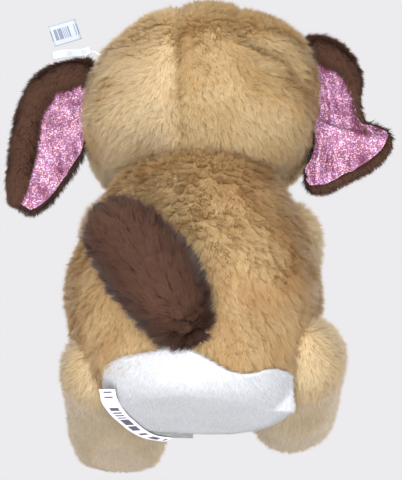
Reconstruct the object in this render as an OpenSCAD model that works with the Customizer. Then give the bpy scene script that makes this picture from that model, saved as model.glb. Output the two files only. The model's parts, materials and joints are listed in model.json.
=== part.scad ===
// Interactive plush puppy, sitting. The origin is on the flat seat, +Z is up and the face looks along -Y.

/* [Head] */
// Width of the head across the cheeks
head_w = 180; // [170:1:190]
// Height and depth of the head
head_h = 150; // [142:1:154]
// Height of the head's centre over the floor
head_z = 255; // [252:1:262]

/* [Body] */
// Widest half width of the body
body_half_w = 92; // [86:1:96]
// Furthest point of the back
body_back = 78; // [74:1:80]
// Furthest point of the belly
body_front = 78; // [72:1:84]
// Thickness of the seat fabric and its padding
seat_t = 5; // [4:0.5:6]

/* [Limbs] */
// Radius of a leg
leg_r = 34; // [31:0.5:34.5]
// Radius of an arm
arm_r = 27; // [24:0.5:28]
// Length of an arm from shoulder to paw centre
arm_l = 66; // [55:1:70]

/* [Ears and tail] */
// Thickness of an ear's plush side
ear_t = 9; // [6:0.5:11]
// Thickness of an ear's shiny lining
lining_t = 2; // [1:0.5:3]
// Length of the tail
tail_l = 119; // [105:1:125]
// How far the tail leans to the toy's left
tail_lean = 42; // [0:1:50]
// How far the tail stands away from the back
tail_out = 20; // [18:1:26]

/* [Mechanism] */
// Wall of the plastic housing
wall = 2; // [1.6:0.1:2.4]
// Teeth on the neck gear
neck_teeth = 48; // [48]
// Teeth on the large wheel of the compound gear
wheel_teeth = 36; // [36]
// Teeth on both pinions
pinion_teeth = 12; // [12]
// Gear module
gear_m = 0.8; // [0.8]
// Running clearance on a radius
run_fit = 0.06; // [0.03:0.01:0.1]

/* [Hidden] */
$fn = 48;
gap = 0.3;
ring_n = 28;
// Far enough to cut through anything.
beyond = 150;
// Clearance of a part that is pressed or glued in.
press = 0.02;

// Self-tapping screws and the holes that they bite into.
screw_r = 1.25;
screw_hole_r = 1.3;
screw_head_t = 1.8;

// The neck axis is upright, and the head is centred on it.
neck_y = -10;
neck_hole_r = 12;
// Dish in the shoulders that the head turns in: radius, and height over the head's lowest point.
collar = [[0, -1.3], [20, -1.3], [40, 6.3], [70, 22.5], [70, 60], [0, 60]];

// Body outline, bottom to top: height, half width, front and back.
body_sections = [
    [0, 0.62 * body_half_w, -0.50 * body_front, 0.70 * body_back],
    [seat_t, 0.73 * body_half_w, -0.63 * body_front, 0.85 * body_back],
    [15, 0.83 * body_half_w, -0.76 * body_front, 0.93 * body_back],
    [33, 0.92 * body_half_w, -0.88 * body_front, 0.98 * body_back],
    [56, 0.98 * body_half_w, -0.96 * body_front, body_back],
    [86, body_half_w, -body_front, body_back],
    [114, 0.97 * body_half_w, -0.98 * body_front, 0.96 * body_back],
    [140, 0.89 * body_half_w, -0.89 * body_front, 0.88 * body_back],
    [160, 0.79 * body_half_w, -0.77 * body_front, 0.78 * body_back],
    [178, 0.68 * body_half_w, -0.64 * body_front, 0.66 * body_back],
    [193, 0.55 * body_half_w, -0.54 * body_front, 0.56 * body_back]
];

// Joint centres of the limbs. The right leg sits wider than the left one.
hip_z = leg_r + 1;
left_hip = [67, 2, hip_z];
right_hip = [-74, 2, hip_z];
left_foot_y = -130;
right_foot_y = -80;
left_leg_turn = -4;
right_leg_turn = 0.5;
leg_swing = [-2, 14];
left_shoulder = [62, -22, 151];
right_shoulder = [-66, -22, 151];
arm_droop = 30;
arm_swing = [-4, 24];

// The seat: a hinged flap in front, a fixed panel behind that climbs up the rump.
flap_hinge_y = 40;
flap_front_y = -40;
flap_outline = [
    [-45, flap_front_y], [38, flap_front_y], [43, 16], [46, 24], [41, flap_hinge_y - gap],
    [-41, flap_hinge_y - gap], [-50, 24], [-49, 16]
];
panel_slope = 27;
// Hook-and-loop tape near the flap's front edge.
tape_x = 0;
tape_l = 38;
tape_w = 13;
tape_t = 1.6;
// Sewn label along the seam of the left leg.
label_at = [8, -2, 0.1];
label_r = 55;
label_w = 11;

// Ear outlines as they hang, across and up. The right ear's tip is folded outward.
ear_back = neck_y + 7;
left_ear_outline = [
    [85, 287], [102, 289], [118, 283], [130, 268], [139, 245], [145, 216], [145, 186], [141, 170],
    [132, 163], [119, 167], [107, 179], [97, 197], [94, 225], [93, 268]
];
right_ear_outline = [
    [84, 291], [98, 301], [112, 294], [119, 275], [123, 252], [129, 238], [140, 234], [146, 222],
    [142, 205], [131, 194], [114, 187], [98, 186], [93, 205], [93, 268]
];
// Point that each lining's outline shrinks toward, and by how much.
left_lining_middle = [116, 220];
right_lining_middle = [112, 232];
lining_margin = 0.22;

// Paper tag that hangs on the left ear's seam.
tag_size = [25, 18];
tag_at = [100, neck_y - 6, 305];
tag_turn = 20;
strip_size = [34, 7];
strip_at = [100, neck_y - 6.8, 288];
strip_turn = 12;
loop_at = [85.6, neck_y - 8, 293];
loop_r = 6;

// Plastic housing inside the body, in two halves that meet at box_split.
box_w = 56;
box_edge_r = 6;
box_front = -38;
box_back = 50;
box_low = 12;
box_high = 140;
box_split = 5;
bay_half_w = 23;
bay_low_y = -31;
bay_high_y = 23;
door_end_y = 30;
cell_x = [-15, 0, 15];
cell_r = 7.2;
cell_l = 49;
bay_h = 20;
box_screws = [[-22, 24], [22, 24], [-22, 106], [22, 106]];
post_r = 3.5;

// Neck drive, from the gear plate up.
plate_z = 117;
plate_t = 3;
plate_bolts = [[-23.5, -28], [23.5, -28], [-23.5, 40], [23.5, 40]];
ledge = 7;
ledge_t = 4;
compound_bearing = 105;
motor_bearing = 60;
compound_at = [0, neck_y]
    + gear_m * (neck_teeth + pinion_teeth) / 2 * [cos(compound_bearing), sin(compound_bearing)];
motor_at = compound_at
    + gear_m * (wheel_teeth + pinion_teeth) / 2 * [cos(motor_bearing), sin(motor_bearing)];
wheel_z = plate_z + plate_t + 3;
wheel_t = 4;
neck_gear_z = wheel_z + wheel_t + 1.5;
neck_gear_t = 5;
neck_shaft_r = 5;
axle_r = 1.5;
motor_shaft_r = 1;
motor_boss_r = 2.9;
motor_l = 25;
pressure_angle = 25;
tooth_share = 0.43;

// Tail drive and tail.
tail_y = 81;
tail_z = 42;
tail_shaft_r = 1.5;
tail_hole_r = 12;
stem_r = 2.2;
tail_profile = [[0, 9], [3, 9], [8.6, 25], [15.8, 45], [20.5, 62], [22, 84], [18.5, 102], [11, 114], [0, tail_l]];

// Face.
eye_x = 33;
eye_z = head_z + 12;
eye_r = 9.5;
muzzle_r = 28;
muzzle_at = [0, neck_y - 62, head_z - 20];
nose_r = 9;

// Chest parts.
speaker_z = 98;
speaker_r = 18;
button_z = 60;
button_r = 8;
board_y = -12;

// ---- Shared shapes ----

// One level ring of the body: an ellipse with its own front and back.
function ring(s) = [
    for (i = [0:ring_n - 1])
        let (a = 360 * i / ring_n)
        [s[1] * cos(a), (s[2] + s[3]) / 2 + (s[3] - s[2]) / 2 * sin(a), s[0]]
];

// Closed solid through a stack of rings with the same number of points.
module loft(rings) {
    n = len(rings[0]);
    m = len(rings);
    sides = [
        for (k = [0:m - 2], i = [0:n - 1])
            let (j = (i + 1) % n, low = k * n, high = low + n)
            each [[low + i, high + i, high + j], [low + i, high + j, low + j]]
    ];
    caps = [[for (i = [0:n - 1]) i], [for (i = [n - 1:-1:0]) (m - 1) * n + i]];
    polyhedron([for (r = rings) each r], concat(caps, sides), convexity = 4);
}

// The whole body with its limbs' places filled in.
module body_form() {
    loft([for (s = body_sections) ring(s)]);
}

// The head turned about the line through its cheeks. grow makes it larger all round.
module head_form(grow = 0) {
    a = head_w / 2 + grow;
    b = head_h / 2 + grow;
    translate([0, neck_y, head_z])
        rotate([0, 90, 0])
            rotate_extrude()
                polygon([for (t = [-90:12:90]) [b * cos(t), a * sin(t)]]);
}

// Corner radius of the twelve-sided shape that stands just outside a circle of radius r.
function around(r) = r / cos(15);

// A straight round limb along -Y from a ball joint at the origin.
module limb(l, r) {
    sphere(r);
    rotate([90, 0, 0]) cylinder(h = l, r = r);
    translate([0, -l, 0]) sphere(r);
}

module leg_at(hip, turn) {
    translate(hip) rotate([0, 0, turn]) children();
}

module arm_at(shoulder, lift) {
    translate(shoulder) rotate([arm_droop - lift, 0, 0]) children();
}

// Room for a leg and its swing: a round pocket at the hip and a wedge in front of it.
module leg_space(hip, turn, out) {
    r = leg_r + 1.2;
    a = turn + out * leg_swing[0];
    b = turn + out * leg_swing[1];
    translate([hip[0], hip[1], -1]) {
        cylinder(h = 2 * hip_z + 1.2, r = around(r));
        for (t = [a, b])
            rotate([0, 0, t]) translate([-r, -beyond, 0]) cube([2 * r, beyond, 2 * hip_z + 1.2]);
    }
}

// Room for an arm and its swing, open to the side.
module arm_space(shoulder) {
    r = arm_r + 1;
    translate([shoulder[0] > 0 ? shoulder[0] - r : -beyond, shoulder[1], shoulder[2]]) {
        rotate([0, 90, 0]) cylinder(h = beyond + r - abs(shoulder[0]), r = around(r));
        for (lift = arm_swing)
            rotate([arm_droop - lift, 0, 0])
                translate([0, -beyond, -r]) cube([beyond + r - abs(shoulder[0]), beyond, 2 * r]);
    }
}

module leg_spaces() {
    leg_space(left_hip, left_leg_turn, 1);
    leg_space(right_hip, right_leg_turn, -1);
}

// Everything below the seam of the white seat fabric. grow lifts the seam.
module seat_space(grow = 0) {
    translate([-beyond, -beyond, -1]) cube([2 * beyond, 2 * beyond, 1 + seat_t + grow]);
    translate([-beyond, flap_hinge_y, seat_t + grow])
        rotate([panel_slope, 0, 0])
            translate([0, 0, -40]) cube([2 * beyond, 100, 40]);
}

// The plastic housing's outer block, with rounded upright edges. grow moves every face out.
module box_form(grow = 0) {
    r = box_edge_r;
    w = box_w / 2 + grow;
    translate([0, 0, box_low - grow])
        linear_extrude(box_high - box_low + 2 * grow)
            union() {
                translate([-w + r, box_front - grow]) square([2 * (w - r), box_back - box_front + 2 * grow]);
                translate([-w, box_front - grow + r]) square([2 * w, box_back - box_front + 2 * (grow - r)]);
                for (x = [-w + r, w - r], y = [box_front - grow + r, box_back + grow - r])
                    translate([x, y]) circle(r);
            }
}

// Half angle of a tooth at radius r on a gear of n teeth.
function involute(a) = tan(a) - a * PI / 180;
function tooth_half(n, r) =
    let (rp = gear_m * n / 2, rb = rp * cos(pressure_angle), a = acos(min(1, rb / max(rb, r))))
    (tooth_share * PI * gear_m / 2 / rp + involute(pressure_angle) - involute(a)) * 180 / PI;

// Spur gear blank with involute flanks. One tooth points along +X before turn is applied.
module gear(n, t, turn = 0) {
    rp = gear_m * n / 2;
    rb = rp * cos(pressure_angle);
    root = rp - 1.25 * gear_m;
    tip = rp + gear_m;
    flank = [root, max(root, rb), (max(root, rb) + rp) / 2, rp, (rp + tip) / 2, tip];
    points = [
        for (k = [0:n - 1])
            let (a = turn + 360 * k / n)
            each concat(
                [for (r = flank) [r * cos(a - tooth_half(n, r)), r * sin(a - tooth_half(n, r))]],
                [for (i = [len(flank) - 1:-1:0])
                    [flank[i] * cos(a + tooth_half(n, flank[i])), flank[i] * sin(a + tooth_half(n, flank[i]))]]
            )
    ];
    linear_extrude(t) polygon(points);
}

// Pan head screw pointing up, with its head's top at the origin.
module screw_up(l) {
    cylinder(h = screw_head_t, r = 2 * screw_r);
    translate([0, 0, screw_head_t]) cylinder(h = l, r = screw_r);
}

// The tail's own frame: origin at its base, +Z along its length.
module at_tail() {
    translate([0, tail_y, tail_z]) rotate([0, tail_lean, 0]) rotate([-tail_out, 0, 0]) children();
}

// Frame of an eye: origin on the face, +Z straight out of it.
module at_eye(side) {
    r = head_h / 2 * sqrt(1 - pow(2 * eye_x / head_w, 2));
    up = asin((eye_z - head_z) / r);
    translate([side * eye_x, neck_y - r * cos(up), eye_z])
        rotate([0, 0, side * 14]) rotate([90 - up, 0, 0]) children();
}

// ---- Soft parts ----

module head_plush() {
    color("burlywood")
        difference() {
            head_form();
            translate([0, neck_y, head_z - head_h / 2 - 5]) cylinder(h = 21, r = neck_hole_r - 2);
            translate([0, neck_y, head_z - head_h / 2 + 16 - 0.2]) cylinder(h = 3.4, r = 32.3);
            for (side = [-1, 1])
                at_eye(side) {
                    translate([0, 0, -2.5]) cylinder(h = 20, r = eye_r + 0.2);
                    translate([0, 0, -18]) cylinder(h = 18, r = 2.6);
                    translate([0, 0, -11.2]) cylinder(h = 2.4, r = 8.2);
                }
        }
}

// The fabric's pockets are flat sided, which the clearances round its neighbours allow for.
module body_plush() {
    $fn = 12;
    color("burlywood")
        resize([2 * body_half_w, 0, 0])
        difference() {
            body_form();
            seat_space(gap);
            box_form(0.6);
            translate([-box_w / 2 + 2, box_front + 4, -1]) cube([box_w - 4, flap_hinge_y - box_front - 5, 20]);
            leg_spaces();
            arm_space(left_shoulder);
            arm_space(right_shoulder);
            translate([0, neck_y, head_z - head_h / 2])
                rotate_extrude() polygon([for (p = collar) [around(p[0]), p[1]]]);
            translate([0, neck_y, box_high - 1]) cylinder(h = 70, r = neck_hole_r);
            translate([0, box_back - 1, tail_z]) rotate([-90, 0, 0]) cylinder(h = 40, r = tail_hole_r);
            translate([0, box_front + 1, button_z]) rotate([90, 0, 0]) cylinder(h = 8, r = button_r + 2);
        }
}

module seat_panel() {
    color("white")
        difference() {
            intersection() {
                body_form();
                seat_space();
            }
            translate([-beyond, -beyond, -2]) cube([2 * beyond, beyond + flap_hinge_y, 30]);
            leg_spaces();
            translate([0, box_back - 1, tail_z]) rotate([-90, 0, 0]) cylinder(h = 40, r = tail_hole_r);
        }
}

module seat_flap() {
    color("white") linear_extrude(seat_t) polygon(flap_outline);
}

module flap_hook_tape() {
    color("silver")
        translate([tape_x, flap_front_y - tape_w, seat_t - 2 * tape_t - gap])
            cube([tape_l, tape_w, tape_t]);
}

module body_loop_tape() {
    color("silver")
        translate([tape_x, flap_front_y - tape_w, seat_t - tape_t + gap])
            cube([tape_l, tape_w - gap, tape_t]);
}

// Sewn label that follows the seam between the seat and the left leg.
module care_label() {
    color("white")
        translate(label_at)
            linear_extrude(0.5)
                difference() {
                    intersection() {
                        circle(label_r + label_w);
                        translate([18, -60]) square([60, 98]);
                    }
                    circle(label_r);
                }
}

module limb_plush(l, r) {
    color("burlywood") limb(l, r);
}

module arm_left() { arm_at(left_shoulder, 0) limb_plush(arm_l, arm_r); }
module arm_right() { arm_at(right_shoulder, 0) limb_plush(arm_l, arm_r); }
module leg_left() { leg_at(left_hip, left_leg_turn) limb_plush(left_hip[1] - left_foot_y, leg_r); }
module leg_right() { leg_at(right_hip, right_leg_turn) limb_plush(right_hip[1] - right_foot_y, leg_r); }

// A flat piece in an ear's outline, with its back face at the given depth.
module ear_slab(outline, side, back, t) {
    mirror([side < 0 ? 1 : 0, 0, 0])
        translate([0, back, 0])
            rotate([90, 0, 0]) linear_extrude(t) polygon(outline);
}

// The lining stops short of the ear's edge, which curls round it.
function toward(p, q, share) = [for (i = [0, 1]) p[i] + (q[i] - p[i]) * share];

module ear_lining(outline, side, middle) {
    color("hotpink")
        ear_slab([for (p = outline) toward(p, middle, lining_margin)], side, ear_back + lining_t, lining_t);
}

module ear_left() { color("saddlebrown") ear_slab(left_ear_outline, 1, ear_back, ear_t); }
module ear_right() { color("saddlebrown") ear_slab(right_ear_outline, -1, ear_back, ear_t); }
module ear_lining_left() { ear_lining(left_ear_outline, 1, left_lining_middle); }
module ear_lining_right() { ear_lining(right_ear_outline, -1, right_lining_middle); }

module muzzle() {
    color("wheat")
        difference() {
            translate(muzzle_at) sphere(muzzle_r);
            head_form(0.05);
        }
}

module nose() {
    color("black")
        difference() {
            translate(muzzle_at + [0, 8 - muzzle_r, 12]) sphere(nose_r);
            translate(muzzle_at) sphere(muzzle_r + 0.05);
        }
}

module eyes() {
    color("black")
        for (side = [-1, 1])
            at_eye(side) {
                rotate_extrude()
                    intersection() {
                        translate([0, -5]) circle(eye_r + 1.5);
                        translate([0, -2.3]) square([eye_r, 12]);
                    }
                translate([0, 0, -17.5]) cylinder(h = 16, r = 2.5);
            }
}

module eye_washers() {
    color("ivory")
        for (side = [-1, 1])
            at_eye(side)
                translate([0, 0, -11])
                    difference() {
                        cylinder(h = 2, r = 8);
                        translate([0, 0, -1]) cylinder(h = 4, r = 2.52);
                    }
}

module hang_tag() {
    color("whitesmoke")
        translate(tag_at)
            rotate([90, tag_turn, 0])
                linear_extrude(0.8)
                    difference() {
                        square(tag_size, center = true);
                        translate([3.5, 3] - tag_size / 2) circle(1.2);
                    }
}

module tag_strip() {
    color("aliceblue")
        translate(strip_at)
            rotate([90, strip_turn, 0])
                linear_extrude(0.5) square(strip_size, center = true);
}

module tag_fastener() {
    color("white")
        translate(loop_at)
            rotate([90, 0, 0])
                rotate_extrude() translate([loop_r, 0]) circle(0.4, $fn = 16);
}

// ---- Tail ----

module tail_plush() {
    color("saddlebrown")
        at_tail()
            difference() {
                rotate_extrude() polygon(tail_profile);
                translate([0, 0, -5]) cylinder(h = 90.05, r = stem_r + press);
            }
}

module tail_stem() {
    color("ivory") at_tail() translate([0, 0, -4]) cylinder(h = 89, r = stem_r);
}

module tail_hub() {
    color("ivory")
        difference() {
            translate([0, tail_y - 10, tail_z]) rotate([-90, 0, 0]) cylinder(h = 10, r = 8);
            at_tail() translate([0, 0, -4.05]) cylinder(h = 30, r = stem_r + press);
            translate([0, tail_y - 11, tail_z]) rotate([-90, 0, 0]) cylinder(h = 5, r = tail_shaft_r + press);
        }
}

module tail_shaft() {
    color("silver")
        translate([0, 40, tail_z]) rotate([-90, 0, 0]) cylinder(h = tail_y - 6.1 - 40, r = tail_shaft_r);
}

module tail_gearmotor() {
    color("gray")
        difference() {
            union() {
                translate([-6, 34, tail_z - 5]) cube([12, 12, 10]);
                translate([0, 20, tail_z]) rotate([-90, 0, 0]) cylinder(h = 14, r = 5);
                translate([0, 46, tail_z]) rotate([-90, 0, 0]) cylinder(h = 2, r = 3);
            }
            translate([0, 39, tail_z]) rotate([-90, 0, 0]) cylinder(h = 12, r = tail_shaft_r + run_fit);
        }
}

// ---- Housing ----

module housing_shell() {
    difference() {
        box_form();
        difference() {
            box_form(-wall);
            // floor of the box: the ceiling of the battery bay
            translate([-box_w / 2, bay_low_y - 2 * wall, box_low])
                cube([box_w, door_end_y + wall - bay_low_y, bay_h + wall]);
        }
        // battery bay, open below
        translate([-bay_half_w, bay_low_y, box_low - 1])
            cube([2 * bay_half_w, bay_high_y - bay_low_y, bay_h + 1]);
        // recess that takes the battery door
        translate([-bay_half_w - 2, bay_low_y - 2, box_low - 1])
            cube([2 * bay_half_w + 4, door_end_y - bay_low_y + 2, 3]);
        // hole that the door's screw bites into
        translate([0, door_end_y - 3, box_low - 1]) cylinder(h = 9, r = screw_hole_r);
        // roof hole for the neck bush
        translate([0, neck_y, box_high - 5]) cylinder(h = 10, r = 8);
        // hole for the tail shaft
        translate([0, box_back - 5, tail_z]) rotate([-90, 0, 0]) cylinder(h = 10, r = 3.2);
        // sound holes of the speaker
        for (i = [0:7])
            translate([10 * cos(45 * i), box_front - 1, speaker_z + 10 * sin(45 * i)])
                rotate([-90, 0, 0]) cylinder(h = 5, r = 1.5);
        translate([0, box_front - 1, speaker_z]) rotate([-90, 0, 0]) cylinder(h = 5, r = 1.5);
        // hole for the chest button
        translate([0, box_front - 1, button_z]) rotate([-90, 0, 0]) cylinder(h = 5, r = button_r + gap);
        // slot for the power switch
        translate([-8, 33, box_low - 1]) cube([16, 6, 5]);
        // screw holes from the back
        for (p = box_screws)
            translate([p[0], box_back + 1, p[1]]) rotate([90, 0, 0]) cylinder(h = 60, r = screw_hole_r);
    }
}

// Round posts that the housing screws bite into.
module screw_posts(y0, y1) {
    for (p = box_screws)
        translate([p[0], y0, p[1]])
            rotate([-90, 0, 0])
                difference() {
                    cylinder(h = y1 - y0, r = post_r);
                    translate([0, 0, -1]) cylinder(h = y1 - y0 + 2, r = screw_hole_r);
                }
}

// Ledges that carry the gear plate.
module plate_ledges(y0, y1) {
    intersection() {
        box_form(-wall / 2);
        for (side = [-1, 1])
            translate([side < 0 ? -box_w / 2 + 1 : box_w / 2 - 1 - ledge, y0, plate_z - ledge_t])
                difference() {
                    cube([ledge, y1 - y0, ledge_t]);
                    for (p = plate_bolts)
                        translate([ledge / 2, p[1] - y0, -1]) cylinder(h = ledge_t + 2, r = screw_hole_r);
                }
    }
}

module front_housing() {
    color("lightgray")
        union() {
            intersection() {
                housing_shell();
                translate([-60, box_front - 5, 0]) cube([120, box_split - box_front + 5, 200]);
            }
            plate_ledges(box_front + 1, box_split - gap);
        }
}

module rear_housing() {
    color("lightgray")
        difference() {
            union() {
                intersection() {
                    housing_shell();
                    translate([-60, box_split + 0.05, 0]) cube([120, 80, 200]);
                }
                screw_posts(door_end_y + wall, box_back - 1);
                plate_ledges(box_split + 0.05, box_back - 1);
            }
            // recesses for the screw heads
            for (p = box_screws)
                translate([p[0], box_back - screw_head_t - 0.05, p[1]])
                    rotate([-90, 0, 0]) cylinder(h = 5, r = 2 * screw_r + gap);
        }
}

module housing_screws() {
    color("silver")
        for (p = box_screws)
            translate([p[0], box_back, p[1]]) rotate([90, 0, 0]) screw_up(15);
}

module battery_door() {
    color("lightgray")
        difference() {
            translate([-bay_half_w - 1.8, bay_low_y - 1.8, box_low - 0.5])
                cube([2 * bay_half_w + 3.6, door_end_y - bay_low_y + 1.6, 2.4]);
            translate([0, door_end_y - 3, box_low - 3]) cylinder(h = 8, r = screw_hole_r);
        }
}

module battery_door_screw() {
    color("silver") translate([0, door_end_y - 3, box_low - 2.3]) screw_up(7);
}

module batteries() {
    color("steelblue")
        for (x = cell_x)
            translate([x, bay_low_y + 1.8, box_low + 12])
                rotate([-90, 0, 0]) {
                    cylinder(h = cell_l, r = cell_r);
                    cylinder(h = cell_l + 1.4, r = 2.7);
                }
}

module battery_contacts() {
    color("silver")
        for (x = cell_x, y = [bay_low_y + 0.2, bay_high_y - 1.5])
            translate([x - 5, y, box_low + 6]) cube([10, 1.3, 12]);
}

module circuit_board() {
    color("seagreen")
        difference() {
            translate([-24, board_y, 42]) cube([48, 1.6, 66]);
            for (x = [-21, 21], z = [45, 105])
                translate([x, board_y - 1, z]) rotate([-90, 0, 0]) cylinder(h = 4, r = 1.5);
        }
}

module board_parts() {
    color("dimgray")
        for (p = [[-18, 82, 12, 12], [6, 86, 8, 6], [12, 66, 9, 14], [-19, 60, 6, 8], [-6, 98, 14, 5]])
            translate([p[0], board_y + 1.6, p[1]]) cube([p[2], 2.2, p[3]]);
}

module speaker() {
    color("dimgray")
        translate([0, box_front + wall, speaker_z])
            rotate([-90, 0, 0])
                difference() {
                    union() {
                        cylinder(h = 3, r = speaker_r);
                        translate([0, 0, 3]) cylinder(h = 4, r1 = speaker_r - 2, r2 = 11);
                        translate([0, 0, 7]) cylinder(h = 5, r = 9);
                    }
                    translate([0, 0, -1]) cylinder(h = 2.5, r = speaker_r - 3);
                }
}

module chest_button() {
    color("ivory")
        translate([0, box_front, button_z])
            rotate([-90, 0, 0]) {
                translate([0, 0, -3]) cylinder(h = 5.4, r = button_r);
                translate([0, 0, 2.4]) cylinder(h = 2, r = button_r + 3);
                translate([0, 0, 4.4]) cylinder(h = 15.1, r = 2);
            }
}

module button_switch() {
    color("dimgray")
        translate([0, board_y, button_z])
            rotate([90, 0, 0]) {
                translate([-3, -3, 0]) cube([6, 6, 3]);
                cylinder(h = 4, r = 1.5);
            }
}

module power_switch() {
    color("black")
        translate([-5.5, 33.5, box_low - 1.5]) cube([6, 5, 5]);
}

module switch_body() {
    color("dimgray") translate([-10, 32.3, box_low + 4]) cube([20, 9, 5]);
}

// ---- Neck drive ----

// One upright hole through the gear plate.
module plate_hole(p, r) {
    translate([p[0], p[1], plate_z - 1]) cylinder(h = plate_t + 2, r = r);
}

module gear_plate() {
    color("lightgray")
        difference() {
            intersection() {
                box_form(-wall - gap);
                translate([-box_w, -box_w, plate_z]) cube([2 * box_w, 3 * box_w, plate_t]);
            }
            plate_hole([0, neck_y], neck_shaft_r + run_fit);
            plate_hole(compound_at, axle_r + press);
            plate_hole(motor_at, motor_boss_r + 0.1);
            for (p = plate_bolts) plate_hole(p, screw_hole_r);
        }
}

module plate_screws() {
    color("silver")
        for (p = plate_bolts)
            translate([p[0], p[1], plate_z + plate_t + screw_head_t]) mirror([0, 0, 1]) screw_up(5);
}

module neck_motor() {
    color("gray")
        translate([motor_at[0], motor_at[1], 0])
            difference() {
                union() {
                    translate([0, 0, plate_z - motor_l])
                        intersection() {
                            cylinder(h = motor_l, r = 10);
                            translate([-7.5, -12, 0]) cube([15, 24, motor_l]);
                        }
                    translate([0, 0, plate_z]) cylinder(h = 1, r = motor_boss_r);
                }
                translate([0, 0, plate_z - motor_l + 5]) cylinder(h = 30, r = motor_shaft_r + run_fit);
            }
}

module motor_shaft() {
    color("silver")
        translate([motor_at[0], motor_at[1], plate_z - 19]) cylinder(h = wheel_z + wheel_t + 19 - plate_z, r = motor_shaft_r);
}

module motor_pinion() {
    color("ivory")
        translate([motor_at[0], motor_at[1], wheel_z - 1])
            difference() {
                gear(pinion_teeth, wheel_t + 2, 15);
                translate([0, 0, -1]) cylinder(h = 10, r = motor_shaft_r + press);
            }
}

module compound_axle() {
    color("silver")
        translate([compound_at[0], compound_at[1], plate_z]) cylinder(h = box_high - wall - plate_z - 0.1, r = axle_r);
}

module compound_gear() {
    color("ivory")
        translate([compound_at[0], compound_at[1], wheel_z])
            difference() {
                union() {
                    gear(wheel_teeth, wheel_t);
                    gear(pinion_teeth, wheel_t + 1.5 + neck_gear_t + 1);
                }
                translate([0, 0, -1]) cylinder(h = 20, r = axle_r + run_fit);
            }
}

module neck_gear() {
    color("ivory")
        translate([0, neck_y, neck_gear_z])
            difference() {
                gear(neck_teeth, neck_gear_t);
                translate([0, 0, -1]) cylinder(h = 10, r = neck_shaft_r + press);
                for (i = [0:5])
                    translate([12 * cos(60 * i), 12 * sin(60 * i), -1]) cylinder(h = 10, r = 3.5);
            }
}

module neck_shaft() {
    color("silver")
        translate([0, neck_y, plate_z - 3])
            difference() {
                cylinder(h = 80, r = neck_shaft_r);
                translate([0, 0, -1]) cylinder(h = 90, r = 3);
            }
}

module neck_bush() {
    color("gold")
        translate([0, neck_y, box_high - wall])
            difference() {
                union() {
                    cylinder(h = wall + 2, r = 7.98);
                    translate([0, 0, -1.5]) cylinder(h = 1.5, r = 10);
                }
                translate([0, 0, -3]) cylinder(h = 10, r = neck_shaft_r + run_fit);
            }
}

module head_frame() {
    color("lightgray")
        translate([0, neck_y, head_z - head_h / 2])
            difference() {
                union() {
                    translate([0, 0, 4]) cylinder(h = 12, r = 9);
                    translate([0, 0, 16]) cylinder(h = 3, r = 32);
                }
                cylinder(h = 30, r = neck_shaft_r + press);
                for (i = [0:5])
                    translate([22 * cos(60 * i), 22 * sin(60 * i), 10]) cylinder(h = 12, r = 4);
            }
}

head_plush();
body_plush();
seat_panel();
seat_flap();
flap_hook_tape();
body_loop_tape();
care_label();
arm_left();
arm_right();
leg_left();
leg_right();
ear_left();
ear_right();
ear_lining_left();
ear_lining_right();
muzzle();
nose();
eyes();
eye_washers();
hang_tag();
tag_strip();
tag_fastener();
tail_plush();
tail_stem();
tail_hub();
tail_shaft();
tail_gearmotor();
front_housing();
rear_housing();
housing_screws();
battery_door();
battery_door_screw();
batteries();
battery_contacts();
circuit_board();
board_parts();
speaker();
chest_button();
button_switch();
power_switch();
switch_body();
gear_plate();
plate_screws();
neck_motor();
motor_shaft();
motor_pinion();
compound_axle();
compound_gear();
neck_gear();
neck_shaft();
neck_bush();
head_frame();
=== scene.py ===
import json
import math
import bmesh
import bpy
import numpy as np
from mathutils import Matrix, Vector, noise
from mathutils.bvhtree import BVHTree


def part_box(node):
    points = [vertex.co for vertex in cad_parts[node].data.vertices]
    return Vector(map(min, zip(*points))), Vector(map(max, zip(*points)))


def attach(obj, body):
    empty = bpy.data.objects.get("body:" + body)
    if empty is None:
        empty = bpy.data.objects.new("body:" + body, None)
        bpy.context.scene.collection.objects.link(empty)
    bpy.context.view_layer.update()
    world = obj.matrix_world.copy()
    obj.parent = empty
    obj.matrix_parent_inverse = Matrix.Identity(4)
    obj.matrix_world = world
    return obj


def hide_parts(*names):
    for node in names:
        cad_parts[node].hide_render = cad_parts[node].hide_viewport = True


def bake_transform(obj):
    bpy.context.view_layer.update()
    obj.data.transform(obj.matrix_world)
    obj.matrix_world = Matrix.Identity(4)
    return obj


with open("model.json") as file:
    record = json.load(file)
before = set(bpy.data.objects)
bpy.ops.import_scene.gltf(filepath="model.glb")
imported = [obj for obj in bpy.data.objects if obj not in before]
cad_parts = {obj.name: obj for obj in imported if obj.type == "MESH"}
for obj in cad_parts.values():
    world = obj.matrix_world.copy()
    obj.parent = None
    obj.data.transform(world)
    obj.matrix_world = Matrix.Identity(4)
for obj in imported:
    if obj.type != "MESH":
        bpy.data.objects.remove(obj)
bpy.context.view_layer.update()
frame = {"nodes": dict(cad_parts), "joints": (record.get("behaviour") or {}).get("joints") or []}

mm = 0.001
joints = {j["name"]: j for j in frame["joints"]}
print("frame loaded:", len(frame["nodes"]), "nodes")


# ---------- mesh helpers ----------

def corners(node):
    low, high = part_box(node)
    return np.array(low), np.array(high)


def makePiece(name, verts, faces, material=None):
    mesh = bpy.data.meshes.new(name)
    mesh.from_pydata([tuple(v) for v in verts], [], faces)
    mesh.validate()
    mesh.polygons.foreach_set("use_smooth", [True] * len(mesh.polygons))
    mesh.update()
    piece = bpy.data.objects.new(name, mesh)
    bpy.context.scene.collection.objects.link(piece)
    if material:
        mesh.materials.append(material)
    return piece


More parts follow.
